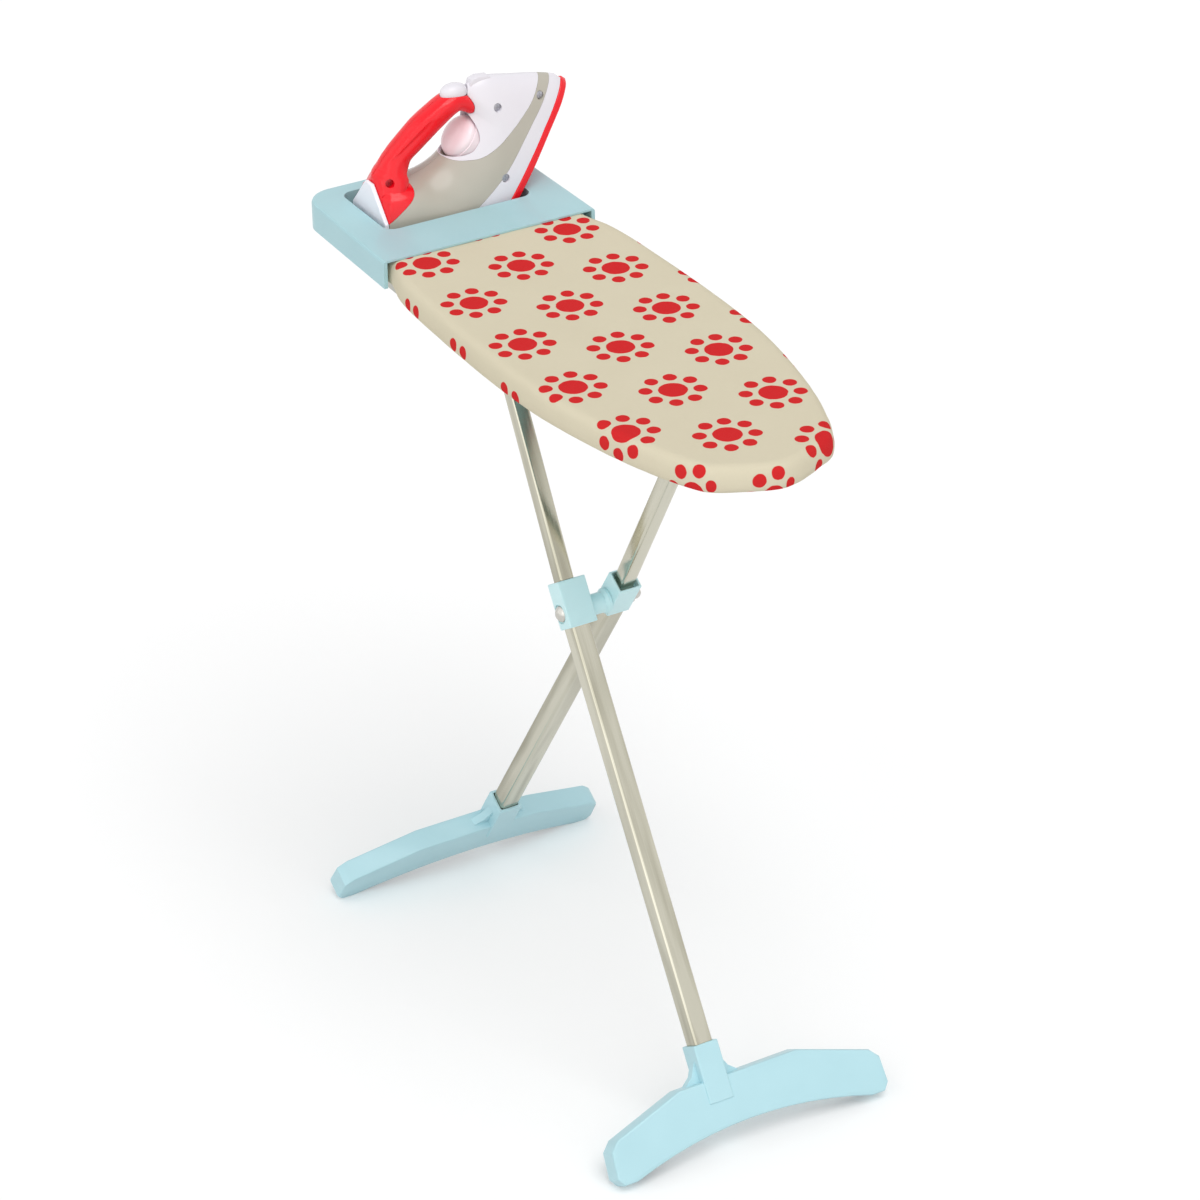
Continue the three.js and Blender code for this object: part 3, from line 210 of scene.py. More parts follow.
soft_lamp("overhead_lamp", (0.36, 0.02, 0.93), 1.05, 40)
soft_lamp("front_lamp", (0.8, -0.42, 0.45), 0.8, 80)
soft_lamp("side_lamp", (-0.1, -0.95, 0.28), 0.65, 90)

bpy.ops.mesh.primitive_plane_add(size=24)
floor = bpy.context.object
floor.name = "studio_floor"
board_white = Finish("studio_floor")
floor_shade = 0.8
floor_glow = 1 - floor_shade
matt = board_white.node("ShaderNodeBsdfDiffuse", {"Color": (floor_shade, floor_shade, floor_shade, 1)})
strength = board_white.unlit() * floor_glow
glow = board_white.node("ShaderNodeEmission", {"Color": (1, 1, 1, 1), "Strength": strength})
both = board_white.node("ShaderNodeAddShader", {0: matt, 1: glow})
board_white.plug(board_white.tree.nodes["Material Output"].inputs["Surface"], both)
floor.data.materials.append(board_white.material)

room = bpy.data.worlds.new("studio_room")
bpy.context.scene.world = room
room_glow = 0.54
room_light = Finish("studio_room", room)
background = room.node_tree.nodes["Background"]
background.inputs["Color"].default_value = (1, 1, 1, 1)
room_light.plug(background.inputs["Strength"], room_glow + room_light.unlit() * (1 - room_glow))

view = bpy.context.scene.view_settings
view.view_transform = "Standard"


# Deck panel: an injection-moulded plate with a rim, ribs and screw bosses under the cloth.
# It is a duller pale blue plastic than the tray, and the rail and the bracket screw to it.
def pick(piece):
    """Selects one piece alone and makes it the active one."""
    bpy.ops.object.select_all(action="DESELECT")
    piece.select_set(True)
    bpy.context.view_layer.objects.active = piece


def finished_copy(node, rim, smooth=40, steps=2):
    """Copies a CAD node, joins its loose triangles, and rounds its edges by the rim."""
    source = frame["nodes"][node]
    body = source["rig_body"]
    pick(source)
    bpy.ops.object.duplicate()
    copy = bpy.context.object
    copy.name = f"{node}_finished"
    for mark in [key for key in copy.keys() if key.startswith("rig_")]:
        del copy[mark]
    bpy.ops.object.mode_set(mode="EDIT")
    bpy.ops.mesh.select_all(action="SELECT")
    bpy.ops.mesh.remove_doubles(threshold=0.00001)
    bpy.ops.object.mode_set(mode="OBJECT")
    if rim:
        rounding = copy.modifiers.new("rim", "BEVEL")
        rounding.width = rim
        rounding.segments = steps
        rounding.limit_method = "ANGLE"
        rounding.angle_limit = math.radians(35)
        rounding.loop_slide = False
        bpy.ops.object.modifier_apply(modifier=rounding.name)
    smooth_faces(copy, smooth)
    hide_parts(node)
    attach(copy, body)
    return copy


def smooth_faces(piece, angle):
    """Smooths a piece except along edges that turn by more than the angle."""
    pick(piece)
    bpy.ops.object.shade_smooth_by_angle(angle=math.radians(angle))
    even = piece.modifiers.new("even_normals", "WEIGHTED_NORMAL")
    even.keep_sharp = True
    bpy.ops.object.modifier_apply(modifier=even.name)


def coat(piece, material):
    """Gives a piece its one material."""
    piece.data.materials.clear()
    piece.data.materials.append(material)


def moulded_plastic(name, colour, shade, roughness, relief=0.02 * mm, coat_weight=0.0, scuffing=0.12):
    """Dyed moulded plastic: slow flow marks in the colour, fine grain and faint scuffs in the gloss."""
    finish = Finish(name)
    point = finish.place()
    flow = finish.noise(point, 45 * mm, 2)
    scuffs = finish.noise(finish.place(stretch=(1, 1, 3), turn=(0.4, 0.3, 0.2)), 9 * mm, 4, 0.6)
    fine = finish.noise(point, 0.5 * mm, 2)
    tone = finish.mix((flow - 0.3) * 1.6, colour, shade)
    return finish.surface(
        Base_Color=tone,
        Roughness=roughness - scuffing / 2 + scuffs * scuffing,
        Normal=finish.bump(fine, relief),
        Specular_IOR_Level=0.32,
        Coat_Weight=coat_weight,
        Coat_Roughness=0.08,
    )


panel = finished_copy("deck_panel", 0.3 * mm)
panel_plastic = moulded_plastic("panel_plastic", paint(168, 211, 218), paint(160, 203, 212), 0.5)
coat(panel, panel_plastic)


# Foam pad: a slab of cream polyether foam, cut to the board's outline and laid loose on the panel.
# Its upper edge is worn round, its open cells show as fine pits, and the cover holds it down.
outline_shares = [
    (0, 0.862), (0.02, 0.885), (0.055, 0.93), (0.11, 0.962), (0.195, 0.981), (0.383, 1),
    (0.555, 0.976), (0.708, 0.876), (0.832, 0.741), (0.925, 0.582), (0.951, 0.498), (0.9735, 0.325),
    (0.9845, 0.225), (0.994, 0.13),
]
cover_length = 452 * mm
cover_half_width = 106.9 * mm
cover_tuck = 12 * mm
seam_x = -151 * mm
board_offset = 5 * mm
deck_height = 639 * mm
cloth_thickness = 1.3 * mm
pad_thickness = 6 * mm
pad_inset = 5.6 * mm


def smooth_line(points, steps, power=0.5):
    """An even curve through points. Power 0.5 keeps its bends close to them, 0 spaces them evenly."""
    ends = [points[0] * 2 - points[1], *points, points[-1] * 2 - points[-2]]
    line = []
    for a, b, c, d in zip(ends, ends[1:], ends[2:], ends[3:]):
        before, over, after = [(q - p).length ** power for p, q in ((a, b), (b, c), (c, d))]
        leave = ((b - a) / before - (c - a) / (before + over) + (c - b) / over) * over
        arrive = ((c - b) / over - (d - b) / (over + after) + (d - c) / after) * over
        for step in range(steps):
            t = step / steps
            line.append(b + t * leave + t * t * (3 * (c - b) - 2 * leave - arrive)
                        + t ** 3 * (2 * (b - c) + leave + arrive))
    return line + [points[-1]]


def board_outline(steps):
    """The cloth's outline seen from above, from the near seam corner round the nose to the far one."""
    near = [
        Vector((along * cover_length, -across * cover_half_width)) for along, across in outline_shares
    ]
    far = [Vector((point.x, -point.y)) for point in reversed(near)]
    line = smooth_line([*near, Vector((cover_length, 0)), *far], steps)
    lead = [Vector((-cover_tuck * (1 - k / 3), line[0].y)) for k in range(3)]
    tail = [Vector((point.x, -point.y)) for point in reversed(lead)]
    return [*lead, *line, *tail]


def outward_ways(outline):
    """For each point of a closed outline, the mitred way outward, so that walls keep their distance."""
    ways = []
    for place, point in enumerate(outline):
        before = outline[place - 1]
        after = outline[(place + 1) % len(outline)]
        arriving = Vector((point.y - before.y, before.x - point.x)).normalized()
        leaving = Vector((after.y - point.y, point.x - after.x)).normalized()
        ways.append((arriving + leaving) / (1 + arriving.dot(leaving)))
    return ways


def ladder_mesh(name, levels, outline, rungs, wave=None):
    """A skin from the middle outward: rungs across the outline, then one closed ring for each level.

    A level is an inset and a height. The UV map gives where each point was on the flat cloth, in metres.
    """
    ways = outward_ways(outline)
    count = len(outline)
    half = count // 2
    wave = wave or (lambda point, level: 0)
    points, flat, faces = [], [], []
    first_inset, first_height = levels[0]
    rim = [outline[k] - ways[k] * first_inset for k in range(count)]
    for level, (inset, height) in enumerate(levels):
        run = sum(math.dist(levels[k], levels[k + 1]) for k in range(level))
        for k in range(count):
            place = outline[k] - ways[k] * (inset - wave(outline[k], level))
            points.append((place.x, place.y, height))
            flat.append(rim[k] + ways[k].normalized() * run)
    for level in range(len(levels) - 1):
        for k in range(count):
            after = (k + 1) % count
            low, high = level * count, (level + 1) * count
            faces.append((low + k, high + k, high + after, low + after))
    rows = []
    for k in range(half):
        near, far = rim[k], rim[count - 1 - k]
        row = [k]
        for rung in range(1, rungs):
            place = near.lerp(far, rung / rungs)
            row.append(len(points))
            points.append((place.x, place.y, first_height + wave(place, -1)))
            flat.append(place)
        rows.append([*row, count - 1 - k])
    for row, after in zip(rows, rows[1:]):
        for rung in range(rungs):
            faces.append((row[rung], after[rung], after[rung + 1], row[rung + 1]))
    for rung in range(rungs):
        faces.append((rows[-1][rung], half, rows[-1][rung + 1]))
    mesh = bpy.data.meshes.new(name)
    mesh.from_pydata([(x + seam_x, y + board_offset, z) for x, y, z in points], [], faces)
    layer = mesh.uv_layers.new(name="flat_cloth")
    for loop in mesh.loops:
        layer.data[loop.index].uv = flat[loop.vertex_index]
    piece = bpy.data.objects.new(name, mesh)
    bpy.context.scene.collection.objects.link(piece)
    return piece


def recalculate(piece, reach=0.02 * mm):
    """Merges points closer than the reach and turns every face outward."""
    pick(piece)
    bpy.ops.object.mode_set(mode="EDIT")
    bpy.ops.mesh.select_all(action="SELECT")
    bpy.ops.mesh.remove_doubles(threshold=reach)
    bpy.ops.mesh.normals_make_consistent(inside=False)
    bpy.ops.object.mode_set(mode="OBJECT")


pad_top = deck_height - cloth_thickness - 0.3 * mm
pad_shares = [(0.85, 0), (0.55, 0.05), (0.3, 0.17), (0.12, 0.36), (0.02, 0.62), (0, 0.86), (0.05, 1)]
pad_levels = [
    (pad_inset + inset * pad_thickness, pad_top - drop * pad_thickness) for inset, drop in pad_shares
]
pad_levels += [(pad_inset + step * 9 * mm, pad_top - pad_thickness) for step in (1, 3)]
pad = ladder_mesh("foam_slab", pad_levels, board_outline(3), 20)
pick(pad)
bpy.ops.object.mode_set(mode="EDIT")
bpy.ops.mesh.select_mode(type="EDGE")
bpy.ops.mesh.select_all(action="DESELECT")
bpy.ops.mesh.select_non_manifold()
bpy.ops.mesh.edge_face_add()
bpy.ops.mesh.quads_convert_to_tris(ngon_method="BEAUTY")
bpy.ops.object.mode_set(mode="OBJECT")
recalculate(pad)
smooth_faces(pad, 50)
foam = Finish("cream_foam")
cell_size = 0.9 * mm
cell_values = {"Vector": foam.place(), "Scale": 1 / cell_size}
cells = foam.node("ShaderNodeTexVoronoi", cell_values, out="Distance")
clouds = foam.noise(foam.place(), 20 * mm)
foam.surface(
    Base_Color=foam.mix(clouds, paint(232, 226, 205), paint(222, 213, 186)),
    Roughness=0.88 + cells * 0.1,
    Normal=foam.bump(cells, 0.25 * mm, 0.7),
)
coat(pad, foam.material)
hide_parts("foam_pad")
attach(pad, "deck")


# Cover: plain-woven cotton printed with red dot flowers, stretched over the pad and the panel rim.
# Its hem is turned in under the rim, and its open end is tucked under the lip of the tray.
cover_drop = 21 * mm
hem_width = 13 * mm
skirt_shares = [(0.72, 0), (0.42, 0.055), (0.2, 0.2), (0.06, 0.45), (0, 0.72), (0.06, 0.92), (0.22, 1)]
# The print's measures are in millimetres, because the shader counts in them.
flower_step = 82.58
flower_row = 63.69
flower_start = (17.68, -68.45)
flower_turn = math.radians(1.67)
print_shift = -1.84
petals = 8
petal_ring = 21.0
petal_radius = 5.5
heart_radius = 11.4
ink_edge = 0.22
thread = 0.42


def puckers(point, level):
    """The slight waves of the cloth: soft on the pad, and drawn folds on the skirt round the nose.

    Places are multiplied by wave numbers, in radians for each metre.
    """
    if level < 0:
        edge = max(0.0, 1 - abs(point.y) / cover_half_width)
        return 0.18 * mm * math.sin(point.x * 61 + 2) * math.sin(point.y * 73 + point.x * 20) * edge
    nose = max(0.0, min(1.0, (point.x - 0.27) / 0.1))
    way = math.atan2(point.y, point.x - 0.25)
    depth = (0.0, 0.1, 0.35, 0.7, 0.9, 0.7, 0.4)[min(level // 2, 6)]
    folds = math.sin(way * 41) + 0.6 * math.sin(way * 67 + 1)
    waves = 0.5 * math.sin(point.x * 90) + 0.5 * math.sin(point.x * 143 + point.y * 9)
    return -depth * mm * (nose * (0.5 + 0.25 * folds) + (1 - nose) * (0.25 + 0.2 * waves))


skirt_corners = [
    Vector((inset * hem_width, deck_height - drop * cover_drop)) for inset, drop in skirt_shares
]
skirt_line = smooth_line(skirt_corners, 2)
skirt_levels = [(point.x, point.y) for point in skirt_line]
skirt_levels += [(hem_width * share, deck_height - cover_drop) for share in (0.5, 1)]
cover = ladder_mesh("stretched_cover", skirt_levels, board_outline(6), 48, puckers)
recalculate(cover)
thickness = cover.modifiers.new("cloth", "SOLIDIFY")
thickness.thickness = cloth_thickness - 0.4 * mm
thickness.offset = -1
bpy.context.view_layer.objects.active = cover
bpy.ops.object.modifier_apply(modifier=thickness.name)
smooth_faces(cover, 60)

cotton = Finish("printed_cotton")
flat = cotton.node("ShaderNodeUVMap", uv_map="flat_cloth")
flat_along = cotton.node("ShaderNodeSeparateXYZ", {0: flat}, out="X") * 1000
flat_across = cotton.node("ShaderNodeSeparateXYZ", {0: flat}, out="Y") * 1000 + print_shift
wobble = cotton.noise(flat, 6 * mm, 2) - 0.5
turn_cos = math.cos(flower_turn)
turn_sin = math.sin(flower_turn)
turned_along = flat_along * turn_cos - flat_across * turn_sin - flower_start[0]
turned_across = flat_along * turn_sin + flat_across * turn_cos - flower_start[1]
row = (turned_across / flower_row).maths("ROUND")
off_row = turned_across - row * flower_row
column = (turned_along / flower_step - row * 0.5).maths("ROUND")
off_column = turned_along - (column + row * 0.5) * flower_step
reach = (off_row * off_row + off_column * off_column) ** 0.5
sector = 2 * math.pi / petals
bearing = off_row.maths("ARCTAN2", off_column) + 2 * math.pi
bearing = bearing.maths("MODULO", sector) - sector / 2
petal_along = reach * bearing.maths("COSINE") - petal_ring
petal_across = reach * bearing.maths("SINE")
petal_reach = (petal_along * petal_along + petal_across * petal_across) ** 0.5
petal = (petal_reach + wobble * 1.1).step(petal_radius, ink_edge)
heart = (reach + wobble * 1.3).step(heart_radius, ink_edge)
printed = petal.maths("MAXIMUM", heart)
warp = (flat_along * (math.pi / thread)).maths("SINE")
weft = (flat_across * (math.pi / thread)).maths("SINE")
weave = warp * weft
slub_along, slub_across = [
    cotton.noise(cotton.node("ShaderNodeMapping", {"Vector": flat, "Scale": drawn}), 9 * mm, 3)
    for drawn in ((1, 14, 1), (14, 1, 1))
]
slubs = (slub_along + slub_across) * 0.5
clouding = cotton.noise(flat, 60 * mm, 2)
cream = cotton.mix(slubs * 0.6 + clouding * 0.4, paint(219, 211, 187), paint(208, 199, 174))
red_ink = cotton.mix(slubs, paint(214, 12, 28), paint(200, 6, 24))
cloth_colour = cotton.mix(printed * (0.965 + weave * 0.035), cream, red_ink)
cotton.surface(
    Base_Color=cloth_colour,
    Roughness=0.86 - printed * 0.08 + slubs * 0.08,
    Normal=cotton.bump(weave * 0.5 + slubs, 0.09 * mm, 0.8),
    Specular_IOR_Level=0.06,
)
coat(cover, cotton.material)
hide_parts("cover")
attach(cover, "deck")
skirt_run = sum(math.dist(a, b) for a, b in zip(skirt_levels, skirt_levels[1:]))
cut_margin = skirt_run - skirt_levels[0][0]
cut_width = 2 * (cover_half_width + cut_margin)
cut_length = cover_length + cover_tuck + 2 * cut_margin


# Iron rest tray: a glossy pale blue moulding that caps the end of the board, with a sunk rest.
# Its outer corners are rounded, its lip laps over the cloth, and two lugs screw it to the panel.
tray = finished_copy("iron_rest_tray", 0.9 * mm, 44, 3)
# Painted shade: the tray's blue is painted a little darker than the same plastic on the feet and joints.
shaded_tray_plastic = moulded_plastic(
    "shaded_tray_plastic", paint(169, 207, 213), paint(164, 203, 210), 0.36, coat_weight=0.12)
coat(tray, shaded_tray_plastic)


# Slide rail and hinge bracket: folded sheet steel, bright zinc plated, screwed under the board.
# Rolling marks run along the rail, and the plating has a faint yellow bloom.
def plated_steel(name, colour, bloom, roughness, marks=(30, 1, 1)):
    """Plated steel: fine marks along the way it was rolled or turned, and a cloudy bloom."""
    finish = Finish(name)
    lines = finish.noise(finish.place(stretch=marks), 0.5 * mm, 3, 0.6)
    haze = finish.noise(finish.place(), 12 * mm, 2)
    return finish.surface(
        Base_Color=finish.mix(haze, colour, bloom),
        Metallic=1.0,
        Roughness=roughness - 0.06 + lines * 0.16,
        Normal=finish.bump(lines, 0.02 * mm, 0.6),
    )


rail_steel = plated_steel("sheet_steel", paint(176, 180, 182), paint(188, 184, 170), 0.34)
for node in ("slide_rail", "hinge_bracket"):
    coat(finished_copy(node, 0.25 * mm), rail_steel)


# Pins, washer, cap nut and screws: turned steel with a thin zinc plate, brighter than the sheet.
# The pan-head screws of the deck sit in pilot holes, and the pins have a head at each end.
def cross_recess(piece, centre, axis, radius, depth):
    """Sinks a screwdriver cross into a head. The centre is on its top, and the axis points out of it."""
    for turn in (0, math.pi / 2):
        bpy.ops.object.select_all(action="DESELECT")
        bpy.ops.mesh.primitive_cube_add(size=1)
        blade = bpy.context.object
        size = Matrix.Diagonal((radius * 1.3, radius * 0.26, depth * 2, 1))
        upright_axis = Vector(axis).to_track_quat("Z", "X").to_matrix().to_4x4()
        turned = upright_axis @ Matrix.Rotation(turn, 4, "Z")
        blade.data.transform(Matrix.Translation(centre) @ turned @ size)
        carve(piece, blade, "DIFFERENCE")


cut_tries = 8
cut_slack = 0.001
cut_nudge = Matrix.Translation((0.0013 * mm, 0.0021 * mm, 0.0017 * mm))


def carve(piece, tool, operation, keep_tool=False):
    """Cuts a piece with a tool, or joins them, and takes the tool away.

    A cut that comes out open, empty or at an impossible volume is made again, first with the solver
    also looking for faces of one piece that cross, and then with the tool moved by microns.
    """
    uncut = piece.data.copy()
    piece_volume = closed_volume(piece)
    tool_volume = closed_volume(tool)
    least, most = {
        "DIFFERENCE": (piece_volume - tool_volume, piece_volume),
        "INTERSECT": (0, min(piece_volume, tool_volume)),
        "UNION": (max(piece_volume, tool_volume), piece_volume + tool_volume),
    }[operation]
    for attempt in range(cut_tries):
        pick(piece)
        change = piece.modifiers.new("carve", "BOOLEAN")
        change.operation = operation
        change.object = tool
        change.solver = "EXACT"
        change.use_self = attempt % 2 == 1
        bpy.ops.object.modifier_apply(modifier=change.name)
        if piece.data.polygons:
            clean_cut(piece)
        volume = closed_volume(piece)
        if volume > 0 and least * (1 - cut_slack) <= volume <= most * (1 + cut_slack):
            break
        piece.data = uncut.copy()
        if attempt % 2 == 1:
            tool.data.transform(cut_nudge)
    if not keep_tool:
        bpy.data.objects.remove(tool)


def closed_volume(piece):
    """Volume of a piece, or -1 where its mesh is open."""
    mesh = bmesh.new()
    mesh.from_mesh(piece.data)
    volume = mesh.calc_volume() if all(edge.is_manifold for edge in mesh.edges) else -1
    mesh.free()
    return volume


def clean_cut(piece):
    """Takes out the slivers that a cut leaves, and splits faces so that the next cut holds."""
    sliver = 0.001 * mm
    bpy.ops.object.mode_set(mode="EDIT")
    bpy.ops.mesh.select_mode(type="FACE")
    bpy.ops.mesh.select_all(action="SELECT")
    bpy.ops.mesh.remove_doubles(threshold=sliver)
    bpy.ops.mesh.dissolve_degenerate(threshold=sliver)
    bpy.ops.mesh.quads_convert_to_tris(quad_method="BEAUTY", ngon_method="BEAUTY")
    bpy.ops.mesh.select_all(action="DESELECT")
    bpy.ops.object.mode_set(mode="OBJECT")
    max(piece.data.polygons, key=lambda face: face.area).select = True
    bpy.ops.object.mode_set(mode="EDIT")
    bpy.ops.mesh.select_linked()
    bpy.ops.mesh.select_all(action="INVERT")
    bpy.ops.mesh.delete(type="FACE")
    bpy.ops.object.mode_set(mode="OBJECT")


zinc = plated_steel("plated_steel", paint(192, 194, 194), paint(204, 198, 184), 0.26, marks=(1, 1, 6))
for number in range(1, 11):
    node = f"deck_screw_{number}"
    low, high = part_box(node)
    screw = finished_copy(node, 0.15 * mm, 50)
    middle = (low + high) / 2
    cross_recess(screw, (middle.x, middle.y, low.z), (0, 0, -1), 3.2 * mm, 0.8 * mm)
    coat(screw, zinc)
for node in ("hinge_pin", "slide_pin", "pivot_washer", "pivot_nut"):
    coat(finished_copy(node, 0.2 * mm, 40), zinc)


# Leg tubes: square steel tube, bent from strip and bright chromed, thin above and thick below.
# Long drawing marks run down each tube. The chrome mirrors the pale room, and the broken light and dark
# streaks in its colour are painted reflection.
lower_slope = math.radians(57.1)
upper_slope = math.radians(60.8)


def chromed_tube(name, lean):
    """Chrome on a drawn tube, with painted reflection as broken streaks in its colour. The lean turns
    the marks and the streaks along the tube.
    """
    finish = Finish(name)
    fine = finish.noise(finish.place(turn=(0, lean, 0), stretch=(1, 1, 60)), 0.7 * mm, 3, 0.6)
    broad_reflection_noise = finish.noise(finish.place(turn=(0, lean, 0), stretch=(1, 1, 11)), 17 * mm, 2, 0.5)
    # Painted reflection: light and dark streaks along the tube, painted into the base colour.
    painted_reflection_streaks = finish.node("ShaderNodeValToRGB", {"Fac": broad_reflection_noise + (fine - 0.5) * 0.12}, stops=[
        (0.3, paint(158, 154, 136)), (0.45, paint(184, 181, 164)), (0.58, paint(202, 199, 183)),
    ])
    return finish.surface(
        Base_Color=painted_reflection_streaks,
        Metallic=1.0,
        Roughness=0.1 + fine * 0.12,
        Normal=finish.bump(fine, 0.012 * mm, 0.5),
    )


for prefix, side in (("front_leg", 1), ("rear_leg", -1)):
    for part, slope in (("upper_tube", upper_slope), ("lower_tube", lower_slope)):
        lean = side * (slope - math.pi / 2)
        tube = finished_copy(f"{prefix}_{part}", 0, 60)
        coat(tube, chromed_tube(f"{prefix}_{part}_chrome", lean))


# Tube plugs: soft grey rubber pressed into the top ends of the thin tubes.
# They are matt, and their faces carry a faint moulding texture.
plug_rubber = moulded_plastic(
    "plug_rubber", paint(92, 95, 97), paint(80, 83, 86), 0.62, relief=0.05 * mm)
for prefix in ("front_leg", "rear_leg"):
    coat(finished_copy(f"{prefix}_tube_plug", 0.3 * mm), plug_rubber)


# Leg joints and feet: hollow mouldings of pale blue plastic, slipped over the tubes and held by screws.
# The front joint carries the round boss to the rear one, and each foot is an arched blade with a socket.
# Painted light: the feet's blue is painted lighter than the same plastic on the tray, where they face
# the light, and the joints' blue lighter still, to lift them out of the board's shadow.
lit_foot_plastic = moulded_plastic(
    "pale_blue_plastic", paint(181, 219, 227), paint(175, 214, 222), 0.36, coat_weight=0.12)
lit_joint_plastic = moulded_plastic(
    "lit_joint_plastic", paint(206, 241, 244), paint(200, 236, 240), 0.34, coat_weight=0.12)
for prefix in ("front_leg", "rear_leg"):
    coat(finished_copy(f"{prefix}_joint", 0.45 * mm, 40), lit_joint_plastic)
    coat(finished_copy(f"{prefix}_foot", 0.5 * mm, 42), lit_foot_plastic)
    for number in (1, 2):
        coat(finished_copy(f"{prefix}_screw_{number}", 0.12 * mm, 50), zinc)


# Pivot bolt: a domed head in a shallow round recess of the front joint, holding both joints together.
# It is steel, zinc plated like the pins and the screws.
coat(finished_copy("pivot_bolt", 0.2 * mm, 50), zinc)


# Iron shell: two grey halves and two white nose halves over a white lower band, all glossy plastic.
# They are screwed together from the side, with fine parting lines between them. Here they are solid.
iron_length = 192 * mm
iron_half = 37.5 * mm
sole_thickness = 5 * mm
seat_gap = 0.3 * mm
iron_tip = (-243 * mm, 127.8 * mm, 717 * mm)
iron_reach = 186 * mm
heel_depth = 3.9 * mm
iron_lean = math.radians(50.4)
iron_turn = Matrix.Rotation(iron_lean, 4, "X") @ Matrix.Rotation(math.pi / 2, 4, "Z")
iron_place = Matrix.Translation(iron_tip) @ iron_turn
rest_level = 620.8 * mm
heel_front = iron_tip[1] - iron_reach + heel_depth
# Each row is one section: how far back it is, its half-width and height, and how square it is.
body_shares = [
    (0.008, 0.06, 0.18, 1.8), (0.03, 0.17, 0.44, 1.8), (0.062, 0.28, 0.76, 1.8),
    (0.114, 0.4, 1.23, 1.8), (0.169, 0.5, 1.72, 1.8), (0.219, 0.57, 1.97, 1.8),
    (0.271, 0.65, 2.02, 1.8), (0.313, 0.71, 1.86, 1.8), (0.349, 0.755, 1.71, 1.85),
    (0.448, 0.865, 1.63, 1.9), (0.547, 0.945, 1.6, 1.95), (0.625, 0.985, 1.72, 2),
    (0.703, 1, 1.99, 2.3), (0.781, 1, 2.5, 3), (0.859, 0.985, 2.7, 3.3),
    (0.938, 0.95, 2.8, 3.3), (1.03, 0.92, 2.88, 3.3),
]
body_points = 56
# Each row is one section of the grip: where its middle is, half its height and width, and its lean.
handle_shares = [
    (0.318, 1.6, 0.15, 0.24, 0), (0.316, 1.86, 0.17, 0.28, 0), (0.324, 2.14, 0.22, 0.3, 0),
    (0.36, 2.31, 0.25, 0.32, 0), (0.437, 2.449, 0.276, 0.32, 0), (0.505, 2.548, 0.292, 0.32, 0),
    (0.573, 2.62, 0.279, 0.32, 0), (0.635, 2.68, 0.264, 0.32, 0), (0.677, 2.669, 0.296, 0.34, 0),
    (0.708, 2.645, 0.325, 0.43, 0.18), (0.74, 2.6, 0.37, 0.6, 0.42), (0.781, 2.59, 0.38, 0.73, 0.62),
    (0.833, 2.63, 0.36, 0.78, 0.7), (0.911, 2.68, 0.33, 0.82, 0.72), (0.99, 2.7, 0.32, 0.84, 0.72),
]
handle_points = 88
handle_steps = 6
handle_squareness = 2.4
band_shares = [
    (-0.05, 0.47), (0.03, 0.455), (0.135, 0.455), (0.29, 0.505), (0.474, 0.55), (0.66, 0.75),
    (0.85, 1.05),
]
nose_shares = [
    (-0.05, 0.73), (0.055, 0.715), (0.164, 0.725), (0.294, 0.86), (0.39, 0.985), (0.467, 1.175),
    (0.512, 1.39), (0.548, 1.62), (0.568, 1.88),
]
tail_line = [
    (-108, 80), (-118, 84), (-126, 88), (-131, 91), (-134.5, 92), (-137, 89), (-138.7, 85),
    (-141.5, 82.6), (-145.5, 82.5), (-160, 86.3), (-173.7, 90), (-215, 101),
]


def finer(shares, steps):
    """More rows between the rows of a table, on even curves through its first four columns."""
    return [tuple(row) for row in smooth_line([Vector(row[:4]) for row in shares], steps, 0)]


def tube_mesh(name, rings):
    """A closed solid through a row of rings that all have as many points."""
    count = len(rings[0])
    points = [point for ring in rings for point in ring]
    faces = [tuple(range(count))[::-1], tuple(range(len(points) - count, len(points)))]
    for low in range(0, len(points) - count, count):
        for k in range(count):
            after = (k + 1) % count
            faces.append((low + k, low + after, low + count + after, low + count + k))
    mesh = bpy.data.meshes.new(name)
    mesh.from_pydata(points, [], faces)
    piece = bpy.data.objects.new(name, mesh)
    bpy.context.scene.collection.objects.link(piece)
    recalculate(piece)
    return piece


def body_solid(name, grow):
    """The whole body of the iron, from the nose to past the heel, flat below."""
    rings = []
    for setback, width, height, roundness in finer(body_shares, 4):
        ring = []
        for k in range(body_points + 1):
            angle = math.pi * k / body_points
            across = math.copysign(abs(math.cos(angle)) ** (2 / roundness), math.cos(angle))
            up = max(math.sin(angle), 0) ** (2 / roundness)
            ring.append((
                -setback * iron_length,
                across * (width * iron_half + grow),
                sole_thickness + seat_gap - grow + up * (height * iron_half + grow),
            ))
        rings.append(ring)
    return tube_mesh(name, rings)


crease_start = (-84 * mm, 96.4 * mm)
crease_end = (-146 * mm, 111 * mm)
crease_depth = 1.2 * mm
crease_sharp = 1.4 * mm
crease_soft = 4 * mm


def crease_dent(along, up):
    """How deep the crease goes into the side of the grip: sharp above its line and soft below."""
    run = (along - crease_start[0]) / (crease_end[0] - crease_start[0])
    if not 0 < run < 1:
        return 0
    above = up - crease_start[1] - run * (crease_end[1] - crease_start[1])
    width = crease_sharp if above > 0 else crease_soft
    return crease_depth * math.sin(math.pi * run) ** 0.5 * math.exp(-(above / width) ** 2)


